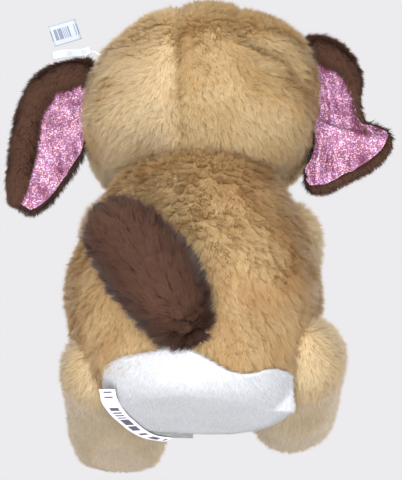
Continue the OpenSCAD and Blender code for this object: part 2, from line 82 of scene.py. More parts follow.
def closedRows(rows):
    # rows is rings x points x 3. Gives a closed skin with a point in the middle of each end.
    rows = np.asarray(rows, float)
    m, n = rows.shape[:2]
    verts = list(rows.reshape(-1, 3)) + [rows[0].mean(axis=0), rows[-1].mean(axis=0)]
    faces = []
    for k in range(m - 1):
        for i in range(n):
            j = (i + 1) % n
            faces.append((k * n + i, k * n + j, (k + 1) * n + j, (k + 1) * n + i))
    for i in range(n):
        j = (i + 1) % n
        faces.append((m * n, j, i))
        faces.append((m * n + 1, (m - 1) * n + i, (m - 1) * n + j))
    return verts, faces


def addSkin(verts, faces, rows):
    # Adds a closed skin to lists of points and faces.
    more, quads = closedRows(rows)
    faces += [tuple(i + len(verts) for i in quad) for quad in quads]
    verts += list(more)


def openRows(rows):
    rows = np.asarray(rows, float)
    m, n = rows.shape[:2]
    faces = [(k * n + i, k * n + i + 1, (k + 1) * n + i + 1, (k + 1) * n + i)
             for k in range(m - 1) for i in range(n - 1)]
    return list(rows.reshape(-1, 3)), faces


def smoothPath(points, count):
    # A Catmull-Rom curve through the points, with count samples.
    p = np.array(points, float)
    p = np.vstack([2 * p[0] - p[1], p, 2 * p[-1] - p[-2]])
    t = np.linspace(0, len(p) - 3 - 1e-9, count)
    k = t.astype(int)
    f = (t - k)[:, None]
    a, b, c, d = p[k], p[k + 1], p[k + 2], p[k + 3]
    curve = 2 * b + (c - a) * f
    curve += (2 * a - 5 * b + 4 * c - d) * f ** 2 + (3 * b - a - 3 * c + d) * f ** 3
    return 0.5 * curve


def fanOf(count):
    # Angles once round a ring.
    return np.linspace(0, 2 * math.pi, count, endpoint=False)


def meshArrays(mesh):
    co = np.empty(len(mesh.vertices) * 3)
    mesh.vertices.foreach_get("co", co)
    no = np.empty(len(mesh.vertices) * 3)
    mesh.vertices.foreach_get("normal", no)
    return co.reshape(-1, 3), no.reshape(-1, 3)


def setPoints(mesh, co):
    mesh.vertices.foreach_set("co", np.asarray(co, float).ravel())
    mesh.update()


def lumps(co, size, seed):
    # Smooth noise from -1 to 1 with features of the given size.
    return np.array([noise.noise(Vector(p) / size + Vector((seed, 2.3 * seed, -seed))) for p in co])


def outward(piece):
    # Joins points that meet and turns every face outward.
    b = bmesh.new()
    b.from_mesh(piece.data)
    bmesh.ops.remove_doubles(b, verts=b.verts, dist=1e-6)
    bmesh.ops.recalc_face_normals(b, faces=b.faces)
    b.to_mesh(piece.data)
    b.free()
    piece.data.update()


def evaluated(piece):
    # The mesh that a piece's modifiers give.
    return bpy.data.meshes.new_from_object(piece.evaluated_get(bpy.context.evaluated_depsgraph_get()))


def walled(piece, thickness):
    # Gives a thin skin two faces and an edge.
    wall = piece.modifiers.new("wall", "SOLIDIFY")
    wall.thickness = thickness
    mesh = evaluated(piece)
    piece.modifiers.clear()
    piece.data = mesh


def remeshed(piece, voxel, smoothing=4):
    # Fuses a piece that overlaps itself into one even skin.
    mod = piece.modifiers.new("even", "REMESH")
    mod.mode = "VOXEL"
    mod.voxel_size = voxel
    soft = piece.modifiers.new("soft", "SMOOTH")
    soft.iterations = smoothing
    mesh = evaluated(piece)
    piece.modifiers.clear()
    materials = list(piece.data.materials)
    old = piece.data
    piece.data = mesh
    bpy.data.meshes.remove(old)
    mesh.materials.clear()
    for material in materials:
        mesh.materials.append(material)
    mesh.polygons.foreach_set("use_smooth", [True] * len(mesh.polygons))
    mesh.update()


# ---------- materials ----------

def nodeMaterial(name, roughness=0.5, metallic=0.0, **sockets):
    material = bpy.data.materials.new(name)
    material.use_nodes = True
    shader = material.node_tree.nodes["Principled BSDF"]
    shader.inputs["Roughness"].default_value = roughness
    shader.inputs["Metallic"].default_value = metallic
    for socket, value in sockets.items():
        shader.inputs[socket.replace("_", " ")].default_value = value
    return material, material.node_tree, shader


def plug(node, inputs):
    # Each input is another node's output, which is linked, or a plain value.
    for key, value in inputs.items():
        if isinstance(value, bpy.types.NodeSocket):
            node.id_data.links.new(value, node.inputs[key])
        else:
            node.inputs[key].default_value = value


def addNode(tree, kind, inputs=None, **values):
    node = tree.nodes.new(kind)
    for key, value in values.items():
        setattr(node, key, value)
    plug(node, inputs or {})
    return node


def newGroup(name, kind, inputs, outputs):
    # inputs and outputs are (name, kind) pairs. Gives the tree, its input and output nodes and its link call.
    tree = bpy.data.node_groups.new(name, kind)
    for way, sockets in (("INPUT", inputs), ("OUTPUT", outputs)):
        for title, socket in sockets:
            tree.interface.new_socket(title, in_out=way, socket_type="NodeSocket" + socket)
    return tree, tree.nodes.new("NodeGroupInput"), tree.nodes.new("NodeGroupOutput"), tree.links.new


def colourRamp(tree, stops, share):
    # The colour at a share of the way along the stops.
    ramp = addNode(tree, "ShaderNodeValToRGB", {"Fac": share})
    while len(ramp.color_ramp.elements) < len(stops):
        ramp.color_ramp.elements.new(0.5)
    for element, (at, colour) in zip(ramp.color_ramp.elements, stops):
        element.position = at
        element.color = (*colour, 1)
    return ramp.outputs["Color"]


def buildPileTone():
    # Colour of one hair: dark at its root as painted shade deep in the pile, pale at its tip, with tufts and
    # patches of another tone.
    group, source, out, link = newGroup(
        "pileTone", "ShaderNodeTree",
        [("Root", "Color"), ("Tip", "Color"), ("Patch", "Color"), ("Patch Size", "Float"),
         ("Patch Amount", "Float")],
        [("Colour", "Color")])
    along = addNode(group, "ShaderNodeAttribute", attribute_name="alongHair")
    tone = addNode(group, "ShaderNodeAttribute", attribute_name="hairTone")
    place = addNode(group, "ShaderNodeTexCoord")
    patches = addNode(group, "ShaderNodeTexNoise", {
        "Detail": 4, "Roughness": 0.6, "Vector": place.outputs["Object"],
        "Scale": source.outputs["Patch Size"]})
    sharp = addNode(group, "ShaderNodeMapRange", {
        "From Min": 0.38, "From Max": 0.66, "Value": patches.outputs["Fac"]})
    amount = addNode(group, "ShaderNodeMath", {
        0: sharp.outputs["Result"], 1: source.outputs["Patch Amount"]}, operation="MULTIPLY")
    # root-to-tip mix: the darker root colour is painted shade deep in the pile
    rise = addNode(group, "ShaderNodeMath", {1: 0.75, 0: along.outputs["Fac"]}, operation="POWER")
    hair = addNode(group, "ShaderNodeMix", {
        "Factor": rise.outputs[0], "A": source.outputs["Root"],
        "B": source.outputs["Tip"]}, data_type="RGBA")
    patchy = addNode(group, "ShaderNodeMix", {
        "Factor": amount.outputs[0], "A": hair.outputs["Result"],
        "B": source.outputs["Patch"]}, data_type="RGBA")
    shade = addNode(group, "ShaderNodeMapRange", {
        "To Min": 0.8, "To Max": 1.16, "Value": tone.outputs["Fac"]})
    varied = addNode(group, "ShaderNodeVectorMath", {
        0: patchy.outputs["Result"], "Scale": shade.outputs["Result"]}, operation="SCALE")
    link(varied.outputs["Vector"], out.inputs["Colour"])
    return group


def buildWeave():
    # Bump height of fine cloth threads, for ribbon, tape and backing fabric.
    group, source, out, link = newGroup("clothThreads", "ShaderNodeTree",
                                        [("Threads", "Float")], [("Height", "Float")])
    place = addNode(group, "ShaderNodeTexCoord")
    heights = []
    for direction in ("X", "Z"):
        wave = addNode(group, "ShaderNodeTexWave", {
            "Distortion": 0.6, "Vector": place.outputs["Object"],
            "Scale": source.outputs["Threads"]}, bands_direction=direction)
        heights.append(wave.outputs["Fac"])
    both = addNode(group, "ShaderNodeMath", {0: heights[0], 1: heights[1]}, operation="ADD")
    link(both.outputs[0], out.inputs["Height"])
    return group


def buildMoulded():
    # Fine grain and slight unevenness of moulded plastic or drawn metal: a colour factor and a bump height.
    group, source, out, link = newGroup("mouldedGrain", "ShaderNodeTree",
                                        [("Colour", "Color"), ("Grain", "Float")],
                                        [("Colour", "Color"), ("Roughness", "Float"), ("Height", "Float")])
    place = addNode(group, "ShaderNodeTexCoord")
    fine = addNode(group, "ShaderNodeTexNoise", {
        "Vector": place.outputs["Object"], "Scale": source.outputs["Grain"]})
    broad = addNode(group, "ShaderNodeTexNoise", {"Scale": 60, "Vector": place.outputs["Object"]})
    shade = addNode(group, "ShaderNodeMapRange", {
        "To Min": 0.88, "To Max": 1.08, "Value": broad.outputs["Fac"]})
    tint = addNode(group, "ShaderNodeVectorMath", {
        0: source.outputs["Colour"], "Scale": shade.outputs["Result"]}, operation="SCALE")
    rough = addNode(group, "ShaderNodeMapRange", {
        "To Min": 0.32, "To Max": 0.55, "Value": fine.outputs["Fac"]})
    link(tint.outputs["Vector"], out.inputs["Colour"])
    link(rough.outputs["Result"], out.inputs["Roughness"])
    link(fine.outputs["Fac"], out.inputs["Height"])
    return group


pileTone = buildPileTone()
clothThreads = buildWeave()
mouldedGrain = buildMoulded()


def plushMaterial(name, root, tip, patch, patchSize=26, patchAmount=0.6, sheen=0.35, hairs=True):
    material, tree, shader = nodeMaterial(name, 0.85, Sheen_Weight=sheen, Sheen_Roughness=0.4)
    shader.inputs["Specular IOR Level"].default_value = 0.2
    tone = addNode(tree, "ShaderNodeGroup", {
        "Root": (*root, 1), "Tip": (*tip, 1), "Patch": (*patch, 1), "Patch Size": patchSize,
        "Patch Amount": patchAmount}, node_tree=pileTone)
    tree.links.new(tone.outputs["Colour"], shader.inputs["Base Color"])
    if hairs:
        # thin hairs also pass light through
        through = addNode(tree, "ShaderNodeBsdfTranslucent", {"Color": tone.outputs["Colour"]})
        mix = addNode(tree, "ShaderNodeMixShader", {
            "Fac": 0.5, 1: shader.outputs["BSDF"], 2: through.outputs["BSDF"]})
        tree.links.new(mix.outputs["Shader"], tree.nodes["Material Output"].inputs["Surface"])
    return material


def mouldedMaterial(name, colour, metallic=0.0, grain=900, bump=0.05, roughFromGrain=True, **sockets):
    material, tree, shader = nodeMaterial(name, 0.4, metallic, **sockets)
    grainNode = addNode(tree, "ShaderNodeGroup", {
        "Colour": (*colour, 1), "Grain": grain}, node_tree=mouldedGrain)
    raised = addNode(tree, "ShaderNodeBump", {"Strength": bump, "Distance": 0.0004})
    plug(raised, {"Height": grainNode.outputs["Height"]})
    plug(shader, {"Base Color": grainNode.outputs["Colour"], "Normal": raised.outputs["Normal"]})
    if roughFromGrain:
        plug(shader, {"Roughness": grainNode.outputs["Roughness"]})
    return material


def clothMaterial(name, colour, second, threads=900, bump=0.3, roughness=0.8, **sockets):
    material, tree, shader = nodeMaterial(name, roughness, **sockets)
    threadNode = addNode(tree, "ShaderNodeGroup", {"Threads": threads}, node_tree=clothThreads)
    raised = addNode(tree, "ShaderNodeBump", {
        "Strength": bump, "Distance": 0.0003, "Height": threadNode.outputs["Height"]})
    place = addNode(tree, "ShaderNodeTexCoord")
    blotch = addNode(tree, "ShaderNodeTexNoise", {"Scale": 120, "Vector": place.outputs["Object"]})
    ramp = colourRamp(tree, [(0.35, colour), (0.7, second)], blotch.outputs["Fac"])
    plug(shader, {"Normal": raised.outputs["Normal"], "Base Color": ramp})
    return material


foil = {"base": (0.11, 0.012, 0.055), "pale": (0.21, 0.065, 0.15), "flake": 1500}


def foilMaterial():
    # Pink satin printed with tiny holographic flakes; their glints, each with its own hue, are painted into
    # the colour.
    material, tree, shader = nodeMaterial("pinkFoil", 0.42, 0.3, Coat_Weight=0.2, Coat_Roughness=0.3)
    place = addNode(tree, "ShaderNodeTexCoord")
    cells = addNode(tree, "ShaderNodeTexVoronoi", {
        "Scale": foil["flake"], "Vector": place.outputs["Object"]})
    split = addNode(tree, "ShaderNodeSeparateColor", {"Color": cells.outputs["Color"]})
    # colours of the painted glints on the flakes
    paintedGlintHue = colourRamp(tree, [(0.0, (0.55, 0.16, 0.36)), (0.35, (0.66, 0.42, 0.56)), (0.55, (0.75, 0.42, 0.14)),
                            (0.65, (0.6, 0.45, 0.55)), (0.85, (0.30, 0.34, 0.6)), (1.0, (0.42, 0.16, 0.5))],
                     split.outputs["Green"])
    zones = addNode(tree, "ShaderNodeTexNoise", {
        "Scale": 55, "Detail": 3, "Vector": place.outputs["Object"]})
    cloth = colourRamp(tree, [(0.3, foil["base"]), (0.72, foil["pale"])], zones.outputs["Fac"])
    # painted glints: where the flake and zone noise run high, a bright hue replaces the cloth colour
    glint = addNode(tree, "ShaderNodeMath", {
        0: split.outputs["Red"], 1: zones.outputs["Fac"]}, operation="ADD")
    paintedGlintMask = addNode(tree, "ShaderNodeMapRange", {
        "From Min": 1.15, "From Max": 1.4, "Value": glint.outputs[0]})
    final = addNode(tree, "ShaderNodeMix", {
        "Factor": paintedGlintMask.outputs["Result"], "A": cloth, "B": paintedGlintHue}, data_type="RGBA")
    raised = addNode(tree, "ShaderNodeBump", {
        "Strength": 0.35, "Distance": 0.0004, "Height": split.outputs["Blue"]})
    plug(shader, {"Base Color": final.outputs["Result"], "Normal": raised.outputs["Normal"]})
    return material


# each plush gets root, tip and patch colours; the darker root colours are painted shade deep in the pile
paleTanPlush = plushMaterial("paleTanPlush", (0.62, 0.47, 0.27), (0.88, 0.74, 0.50), (0.72, 0.54, 0.30))
tanPlush = plushMaterial("tanPlush", (0.44, 0.29, 0.13), (0.77, 0.59, 0.34), (0.52, 0.32, 0.14), 34, 0.75)
goldTanPlush = plushMaterial("goldTanPlush", (0.50, 0.345, 0.165), (0.78, 0.62, 0.37), (0.60, 0.41, 0.19),
                             34, 0.7)
tanSkin = plushMaterial("tanBacking", (0.55, 0.36, 0.16), (0.66, 0.45, 0.22), (0.50, 0.31, 0.13), hairs=False)
brownPlush = plushMaterial("brownPlush", (0.06, 0.028, 0.018), (0.19, 0.095, 0.063), (0.10, 0.047, 0.032),
                           patchAmount=0.6, sheen=0.2)
brownSkin = plushMaterial("brownBacking", (0.045, 0.021, 0.014), (0.06, 0.03, 0.02), (0.04, 0.02, 0.014),
                          hairs=False)
whitePlush = plushMaterial("whitePlush", (0.84, 0.86, 0.89), (0.88, 0.89, 0.91), (0.84, 0.86, 0.9),
                           patchAmount=0.3, sheen=0.3)
whiteSkin = plushMaterial("whiteBacking", (0.86, 0.88, 0.92), (0.9, 0.91, 0.95), (0.86, 0.88, 0.92),
                          hairs=False)
creamPlush = plushMaterial("creamPlush", (0.70, 0.60, 0.45), (0.86, 0.79, 0.66), (0.74, 0.64, 0.48))
creamSkin = plushMaterial("creamBacking", (0.7, 0.6, 0.45), (0.7, 0.6, 0.45), (0.6, 0.5, 0.36), hairs=False)
pinkFoil = foilMaterial()
print("plush materials made")


# ---------- pile ----------

def hairTemplate():
    # One flat hair: two root points and a tip, one unit long.
    hair = makePiece("hairTemplate", [(0, -0.5, 0), (0, 0.5, 0), (-0.12, 0, 0.98)], [(0, 1, 2)])
    along = hair.data.attributes.new("alongHair", "FLOAT", "POINT")
    along.data.foreach_set("value", [0, 0, 1])
    return hair


def buildPile():
    # Scatters hairs over a skin, leaned along its comb attribute, with their tips drawn into tufts.
    sizes = ("Per Square Metre", "Length", "Width", "Lean", "Tuft Size", "Tuft Pull", "Swirl", "Scatter")
    tree, source, out, link = newGroup(
        "plushPile", "GeometryNodeTree",
        [("Geometry", "Geometry"), ("Hair", "Object")] + [(size, "Float") for size in sizes]
        + [("Seed", "Int"), ("Material", "Material")], [("Geometry", "Geometry")])

    def vector(operation, a, b=None, scale=None):
        node = addNode(tree, "ShaderNodeVectorMath", {0: a}, operation=operation)
        if b is not None:
            link(b, node.inputs[1])
        if scale is not None:
            link(scale, node.inputs["Scale"])
        return node.outputs["Vector"]

    cover = addNode(tree, "GeometryNodeInputNamedAttribute", {"Name": "cover"}, data_type="FLOAT")
    density = addNode(tree, "ShaderNodeMath", {
        0: cover.outputs["Attribute"], 1: source.outputs["Per Square Metre"]}, operation="MULTIPLY")
    points = addNode(tree, "GeometryNodeDistributePointsOnFaces", {
        "Mesh": source.outputs["Geometry"], "Density": density.outputs[0],
        "Seed": source.outputs["Seed"]})
    normal = points.outputs["Normal"]
    place = addNode(tree, "GeometryNodeInputPosition").outputs[0]

    tuftScale = addNode(tree, "ShaderNodeMath", {0: 1, 1: source.outputs["Tuft Size"]}, operation="DIVIDE")
    cells = addNode(tree, "ShaderNodeTexVoronoi", {"Scale": tuftScale.outputs[0]})
    toTuft = vector("SUBTRACT", cells.outputs["Position"], place)
    toTuft = vector("SCALE", toTuft, scale=tuftScale.outputs[0])
    toTuft = vector("SCALE", toTuft, scale=source.outputs["Tuft Pull"])

    wander = addNode(tree, "ShaderNodeTexNoise", {"Scale": 28, "Detail": 4, "Roughness": 0.75})
    half = addNode(tree, "ShaderNodeVectorMath", {
        1: (0.5, 0.5, 0.5), 0: wander.outputs["Color"]}, operation="SUBTRACT")
    swirl = vector("SCALE", half.outputs["Vector"], scale=source.outputs["Swirl"])

    loose = addNode(tree, "FunctionNodeRandomValue", {
        "Min": (-1, -1, -1), "Max": (1, 1, 1), "Seed": source.outputs["Seed"]}, data_type="FLOAT_VECTOR")
    loosened = vector("SCALE", loose.outputs["Value"], scale=source.outputs["Scatter"])

    comb = addNode(tree, "GeometryNodeInputNamedAttribute", {"Name": "comb"}, data_type="FLOAT_VECTOR")
    leaned = vector("SCALE", comb.outputs["Attribute"], scale=source.outputs["Lean"])
    way = vector("ADD", vector("ADD", normal, leaned), vector("ADD", toTuft, vector("ADD", swirl, loosened)))
    way = vector("NORMALIZE", way)

    aim = addNode(tree, "FunctionNodeAlignRotationToVector", {"Vector": way}, axis="Z")
    turned = addNode(tree, "FunctionNodeAlignRotationToVector", {
        "Rotation": aim.outputs["Rotation"], "Vector": normal}, axis="X", pivot_axis="Z")

    longness = addNode(tree, "FunctionNodeRandomValue", {
        2: 0.7, 3: 1.15, "Seed": source.outputs["Seed"]}, data_type="FLOAT")
    hairLength = addNode(tree, "ShaderNodeMath", {
        0: longness.outputs[1], 1: source.outputs["Length"]}, operation="MULTIPLY")
    size = addNode(tree, "ShaderNodeCombineXYZ", {
        "X": hairLength.outputs[0], "Y": source.outputs["Width"], "Z": hairLength.outputs[0]})

    tone = addNode(tree, "FunctionNodeRandomValue", {"ID": 7}, data_type="FLOAT")
    marked = addNode(tree, "GeometryNodeStoreNamedAttribute", {
        "Name": "hairTone", "Geometry": points.outputs["Points"],
        "Value": tone.outputs[1]}, data_type="FLOAT", domain="POINT")
    skin = addNode(tree, "GeometryNodeStoreNamedAttribute", {
        "Name": "skinNormal", "Geometry": marked.outputs["Geometry"],
        "Value": vector("NORMALIZE", vector("ADD", normal, way))}, data_type="FLOAT_VECTOR", domain="POINT")

    hair = addNode(tree, "GeometryNodeObjectInfo", {"Object": source.outputs["Hair"]})
    placed = addNode(tree, "GeometryNodeInstanceOnPoints", {
        "Points": skin.outputs["Geometry"], "Instance": hair.outputs["Geometry"],
        "Rotation": turned.outputs["Rotation"], "Scale": size.outputs["Vector"]})
    real = addNode(tree, "GeometryNodeRealizeInstances", {"Geometry": placed.outputs["Instances"]})
    dyed = addNode(tree, "GeometryNodeSetMaterial", {
        "Geometry": real.outputs["Geometry"], "Material": source.outputs["Material"]})
    link(dyed.outputs["Geometry"], out.inputs["Geometry"])
    return tree


hairTemplateObject = hairTemplate()
plushPile = buildPile()
pileInputs = {item.name: item.identifier for item in plushPile.interface.items_tree if item.in_out == "INPUT"}


def growPile(name, skin, material, comb, cover=None, perMm2=2.6, length=8, width=0.7, lean=0.9,
             tuft=5, pull=0.35, swirl=2.2, scatter=0.3, seed=1, floor=0.0004):
    # comb and cover are functions of the skin's points and normals. Gives the pile as one plain mesh.
    co, no = meshArrays(skin.data)
    flow = np.asarray(comb(co, no), float)
    flow -= no * (flow * no).sum(axis=1)[:, None]
    flow /= np.maximum(np.linalg.norm(flow, axis=1), 1e-6)[:, None]
    skin.data.attributes.new("comb", "FLOAT_VECTOR", "POINT").data.foreach_set("vector", flow.ravel())
    amount = np.ones(len(co)) if cover is None else np.clip(cover(co, no), 0, 1)
    skin.data.attributes.new("cover", "FLOAT", "POINT").data.foreach_set("value", amount)
    mod = skin.modifiers.new("pile", "NODES")
    mod.node_group = plushPile
    values = {"Hair": hairTemplateObject, "Per Square Metre": perMm2 * 1e6, "Length": length * mm,
              "Width": width * mm, "Lean": lean, "Tuft Size": tuft * mm, "Tuft Pull": pull,
              "Swirl": swirl, "Scatter": scatter, "Seed": seed, "Material": material}
    for key, value in values.items():
        mod[pileInputs[key]] = value
    mesh = evaluated(skin)
    skin.modifiers.remove(mod)
    for attribute in ("comb", "cover"):
        skin.data.attributes.remove(skin.data.attributes[attribute])
    mesh.name = name
    points, _ = meshArrays(mesh)
    points[:, 2] = np.maximum(points[:, 2], floor)
    setPoints(mesh, points)
    mesh.polygons.foreach_set("use_smooth", [True] * len(mesh.polygons))
    soft = np.empty(len(mesh.vertices) * 3)
    mesh.attributes["skinNormal"].data.foreach_get("vector", soft)
    mesh.normals_split_custom_set_from_vertices(soft.reshape(-1, 3))
    mesh.attributes.remove(mesh.attributes["skinNormal"])
    piece = bpy.data.objects.new(name, mesh)
    bpy.context.scene.collection.objects.link(piece)
    print("pile", name, len(mesh.polygons), "hairs")
    return piece


def splitCover(low, high):
    # Keeps hairs between two planes across the toy.
    return lambda co, no: ((co[:, 0] >= low) & (co[:, 0] < high)).astype(float)


# ---------- head ----------

head = {
    "inset": 4 * mm,          # skin lies this far under the pile's outside
    "cheeks": 2.7, "lean": 7 * mm, "lump": (2.2 * mm, 0.05),
    # soft bulges: where (x, z), reach and height
    "bulges": [(-66, 288, 24, 4), (70, 196, 26, 7), (30, 330, 30, 2)],
    "seamDepth": 6 * mm, "seamWidth": 4.5 * mm,
    "seamLeft": [(17, 330), (19, 300), (21, 262), (20, 222), (16, 205)],
    "seamRight": [(-30, 324), (-25, 300), (-38, 277), (-62, 268), (-69, 258)],
    "pile": 8.5, "perMm2": 2.7,
}
headLow, headHigh = corners("head_plush")
headMid = (headLow + headHigh) / 2


def groove(co, path, width):
    # How near each point is to a path of (x, z) in mm, from 0 to 1.
    line = smoothPath(path, 60) * mm
    d = np.min(np.linalg.norm(co[:, None, [0, 2]] - line[None], axis=2), axis=1)
    return np.exp(-(d / width) ** 2)


def makeHead():
    radii = (headHigh - headLow) / 2 - head["inset"]
    rows = []
    for polar in np.linspace(2, 178, 90):
        a = math.radians(polar)
        turn = fanOf(160)
        ring = np.stack([radii[0] * math.sin(a) * np.cos(turn), radii[1] * math.sin(a) * np.sin(turn),
                         np.full(160, -radii[2] * math.cos(a))], axis=1)
        rows.append(ring + headMid)
    skin = makePiece("headStuffed", *closedRows(rows), tanSkin)
    co, no = meshArrays(skin.data)
    # fuller cheeks below, and a crown that leans to the toy's right
    unit = (co - headMid) / radii
    rise = unit[:, 2].copy()
    low = np.clip(-rise, 0, 1)
    norm = (np.abs(unit) ** head["cheeks"]).sum(axis=1) ** (1 / head["cheeks"])
    fuller = unit / norm[:, None]
    share = np.clip(low * 3, 0, 1)[:, None]
    unit = unit * (1 - share) + fuller * share
    co = headMid + unit * radii
    co[:, 0] -= head["lean"] * np.clip(rise, 0, 1) ** 1.2
    setPoints(skin.data, co)
    co, no = meshArrays(skin.data)
    back = np.clip((co[:, 1] - headMid[1] + 0.012) / 0.02, 0, 1)
    for x, z, reach, height in head["bulges"]:
        near = np.exp(-((co[:, 0] - x * mm) ** 2 + (co[:, 2] - z * mm) ** 2) / (reach * mm) ** 2)
        co += no * (height * mm * near)[:, None]
    dent = groove(co, head["seamLeft"], head["seamWidth"])
    dent += 0.8 * groove(co, head["seamRight"], head["seamWidth"])
    height, size = head["lump"]
    co += no * (height * lumps(co, size, 3) - head["seamDepth"] * dent * back)[:, None]
    setPoints(skin.data, co)
    return skin


def headComb(co, no):
    # Brushed down from the crown and out over the cheeks.
    flow = np.zeros_like(co)
    flow[:, 0] = 9 * (co[:, 0] - headMid[0])
    flow[:, 1] = 4 * (co[:, 1] - headMid[1])
    flow[:, 2] = -0.8
    return flow


headSkin = makeHead()
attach(headSkin, "head")
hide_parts("head_plush")
for index, (low, high) in enumerate([(-1, -0.030), (-0.030, 0.018), (0.018, 1)]):
    shade = paleTanPlush if index == 2 else goldTanPlush
    pile = growPile(f"headPile{index + 1}", headSkin, shade, headComb, splitCover(low, high),
                    perMm2=head["perMm2"], length=head["pile"], pull=0.5, swirl=2.6, seed=11 + index)
    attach(pile, "head")
print("head made")


# ---------- body ----------

body = {
    # height, half width, front and back as shares of the body's own box
    "sections": [(0.00, 0.48, 0.40, 0.66), (0.03, 0.66, 0.56, 0.84), (0.09, 0.79, 0.72, 0.93),
                 (0.17, 0.88, 0.84, 0.98), (0.29, 0.96, 0.95, 1.0), (0.45, 1.0, 1.0, 1.0),
                 (0.59, 0.97, 0.98, 0.96), (0.73, 0.89, 0.89, 0.88), (0.83, 0.80, 0.78, 0.78),
                 (0.92, 0.70, 0.66, 0.66), (1.0, 0.55, 0.54, 0.54)],
    "inset": 5 * mm, "pile": 8.5, "perMm2": 2.6, "lump": (2.4 * mm, 0.055),
}
bodyLow, bodyHigh = corners("body_plush")


def makeBody():
    halfWidth = bodyHigh[0] - body["inset"]
    front, back = -bodyLow[1] - body["inset"], bodyHigh[1] - body["inset"]
    low, high = 6 * mm, bodyHigh[2] - 4 * mm
    table = smoothPath(body["sections"], 90)
    turn = fanOf(150)
    rows = []
    for share, w, f, b in table:
        y0, y1 = -f * front, b * back
        rows.append(np.stack([w * halfWidth * np.cos(turn), (y0 + y1) / 2 + (y1 - y0) / 2 * np.sin(turn),
                              np.full(150, low + share * (high - low))], axis=1))
    skin = makePiece("bodyStuffed", *closedRows(rows), tanSkin)
    co, no = meshArrays(skin.data)
    co[:, 0] *= np.where(co[:, 0] > 0, 1.04, 1)
    height, size = body["lump"]
    co += no * (height * lumps(co, size, 5))[:, None]
    setPoints(skin.data, co)
    return skin


# Seam between tan and white, across and up: highest under the tail.
seatSeam = [(-82, 6), (-70, 15), (-54, 15), (-39, 9), (-25, 8), (-10, 14), (0, 19), (13, 24), (30, 20),
            (51, 19), (62, 15), (68, 6), (80, 3)]


def seatLine(co):
    seam = smoothPath(seatSeam, 80) * mm
    return np.interp(co[:, 0], seam[:, 0], seam[:, 1])


def bodyComb(co, no):
    flow = np.zeros_like(co)
    flow[:, 0] = 3.5 * co[:, 0]
    flow[:, 1] = 1.5 * co[:, 1]
    flow[:, 2] = -1
    return flow


def bodyCover(low, high, behind):
    def cover(co, no):
        inBand = (co[:, 0] >= low) & (co[:, 0] < high)
        onSide = co[:, 1] >= 0 if behind else co[:, 1] < 0
        aboveSeat = (co[:, 2] > seatLine(co) + 3 * mm) | (co[:, 1] < 0.02)
        outside = co[:, 2] > 9 * mm
        return (inBand & onSide & aboveSeat & outside).astype(float)
    return cover


bodySkin = makeBody()
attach(bodySkin, "torso")
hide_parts("body_plush")
for index, (low, high, behind) in enumerate([(-1, 0, True), (0, 1, True), (-1, 1, False)]):
    pile = growPile(f"bodyPile{index + 1}", bodySkin, tanPlush, bodyComb, bodyCover(low, high, behind),
                    perMm2=body["perMm2"], length=body["pile"], tuft=6, pull=0.6, swirl=2.9, seed=21 + index)
    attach(pile, "torso")
print("body made")


# ---------- limbs ----------

limb = {
    "inset": 4 * mm, "pile": 8, "perMm2": 2.3, "lump": (1.8 * mm, 0.04),
    # share of the way to the paw, share of the solid's radius, and lift in mm
    "leftLeg": [(0, 0.88, 1), (0.3, 0.92, 0), (0.6, 1.01, -2), (1, 1.13, -6)],
    "rightLeg": [(0, 1.04, 12), (0.3, 1.0, 7), (0.6, 0.97, 1), (1, 0.98, 1)],
    "leftArm": [(0, 1.0, 0), (0.5, 0.93, 0), (1, 1.0, 0)],
    "rightArm": [(0, 1.0, 0), (0.5, 1.04, 0), (1, 1.12, 0)],
}


def limbSkin(name, start, end, radius):
    # A stuffed tube from the joint to the paw, with rounded ends.
    axis = end - start
    length = np.linalg.norm(axis)
    axis /= length
    side = np.cross(axis, (0, 0, 1))
    side /= np.linalg.norm(side)
    up = np.cross(side, axis)
    table = smoothPath(limb[name], 40)
    turn = fanOf(72)
    rows = []

    def ring(share, along, squash):
        fullness = np.interp(share, table[:, 0], table[:, 1]) * radius - limb["inset"]
        lift = np.interp(share, table[:, 0], table[:, 2]) * mm
        centre = start + axis * (share * length + along * fullness) + np.array([0, 0, lift])
        rows.append(centre + squash * fullness * (np.cos(turn)[:, None] * side + np.sin(turn)[:, None] * up))

    for a in np.radians(np.linspace(-88, 0, 16)):
        ring(0, math.sin(a), math.cos(a))
    for share in np.linspace(0, 1, 24)[1:-1]:
        ring(share, 0, 1)
    for a in np.radians(np.linspace(0, 88, 16)):
        ring(1, 0.94 * math.sin(a), math.cos(a) ** 0.85)
    skin = makePiece(name + "Stuffed", *closedRows(rows), tanSkin)
    outward(skin)
    co, no = meshArrays(skin.data)
    height, size = limb["lump"]
    co += no * (height * lumps(co, size, len(name)))[:, None]
    # room for the seat beside and behind the hip
    underSeat = np.clip((0.066 - np.abs(co[:, 0])) / 0.008, 0, 1) * np.clip((co[:, 1] + 0.045) / 0.01, 0, 1)
    co[:, 2] = np.maximum(co[:, 2], (2 + 7 * underSeat) * mm)
    setPoints(skin.data, co)
    return skin, axis


def makeLimb(name, node, jointName, bodyName, seed):
    low, high = corners(node)
    start = np.array(joints[jointName]["pos_m"])
    radius = (high[0] - low[0]) / 2 if "arm" in node else (high[2] - low[2]) / 2
    x = low[0] + radius if start[0] - low[0] > high[0] - start[0] + 0.001 else high[0] - radius
    if "arm" in node:
        end = np.array([start[0], low[1] + radius, low[2] + radius])
    else:
        end = np.array([x, low[1] + radius - 6 * mm, start[2]])
    skin, axis = limbSkin(name, start, end, radius)
    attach(skin, bodyName)
    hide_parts(node)
    brushed = axis + np.array([0, 0, -0.5])
    pile = growPile(name + "Pile", skin, paleTanPlush, lambda co, no: np.tile(brushed, (len(co), 1)),
                    perMm2=limb["perMm2"], length=limb["pile"], pull=0.45, swirl=2.4, seed=seed, floor=0.0012)
    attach(pile, bodyName)


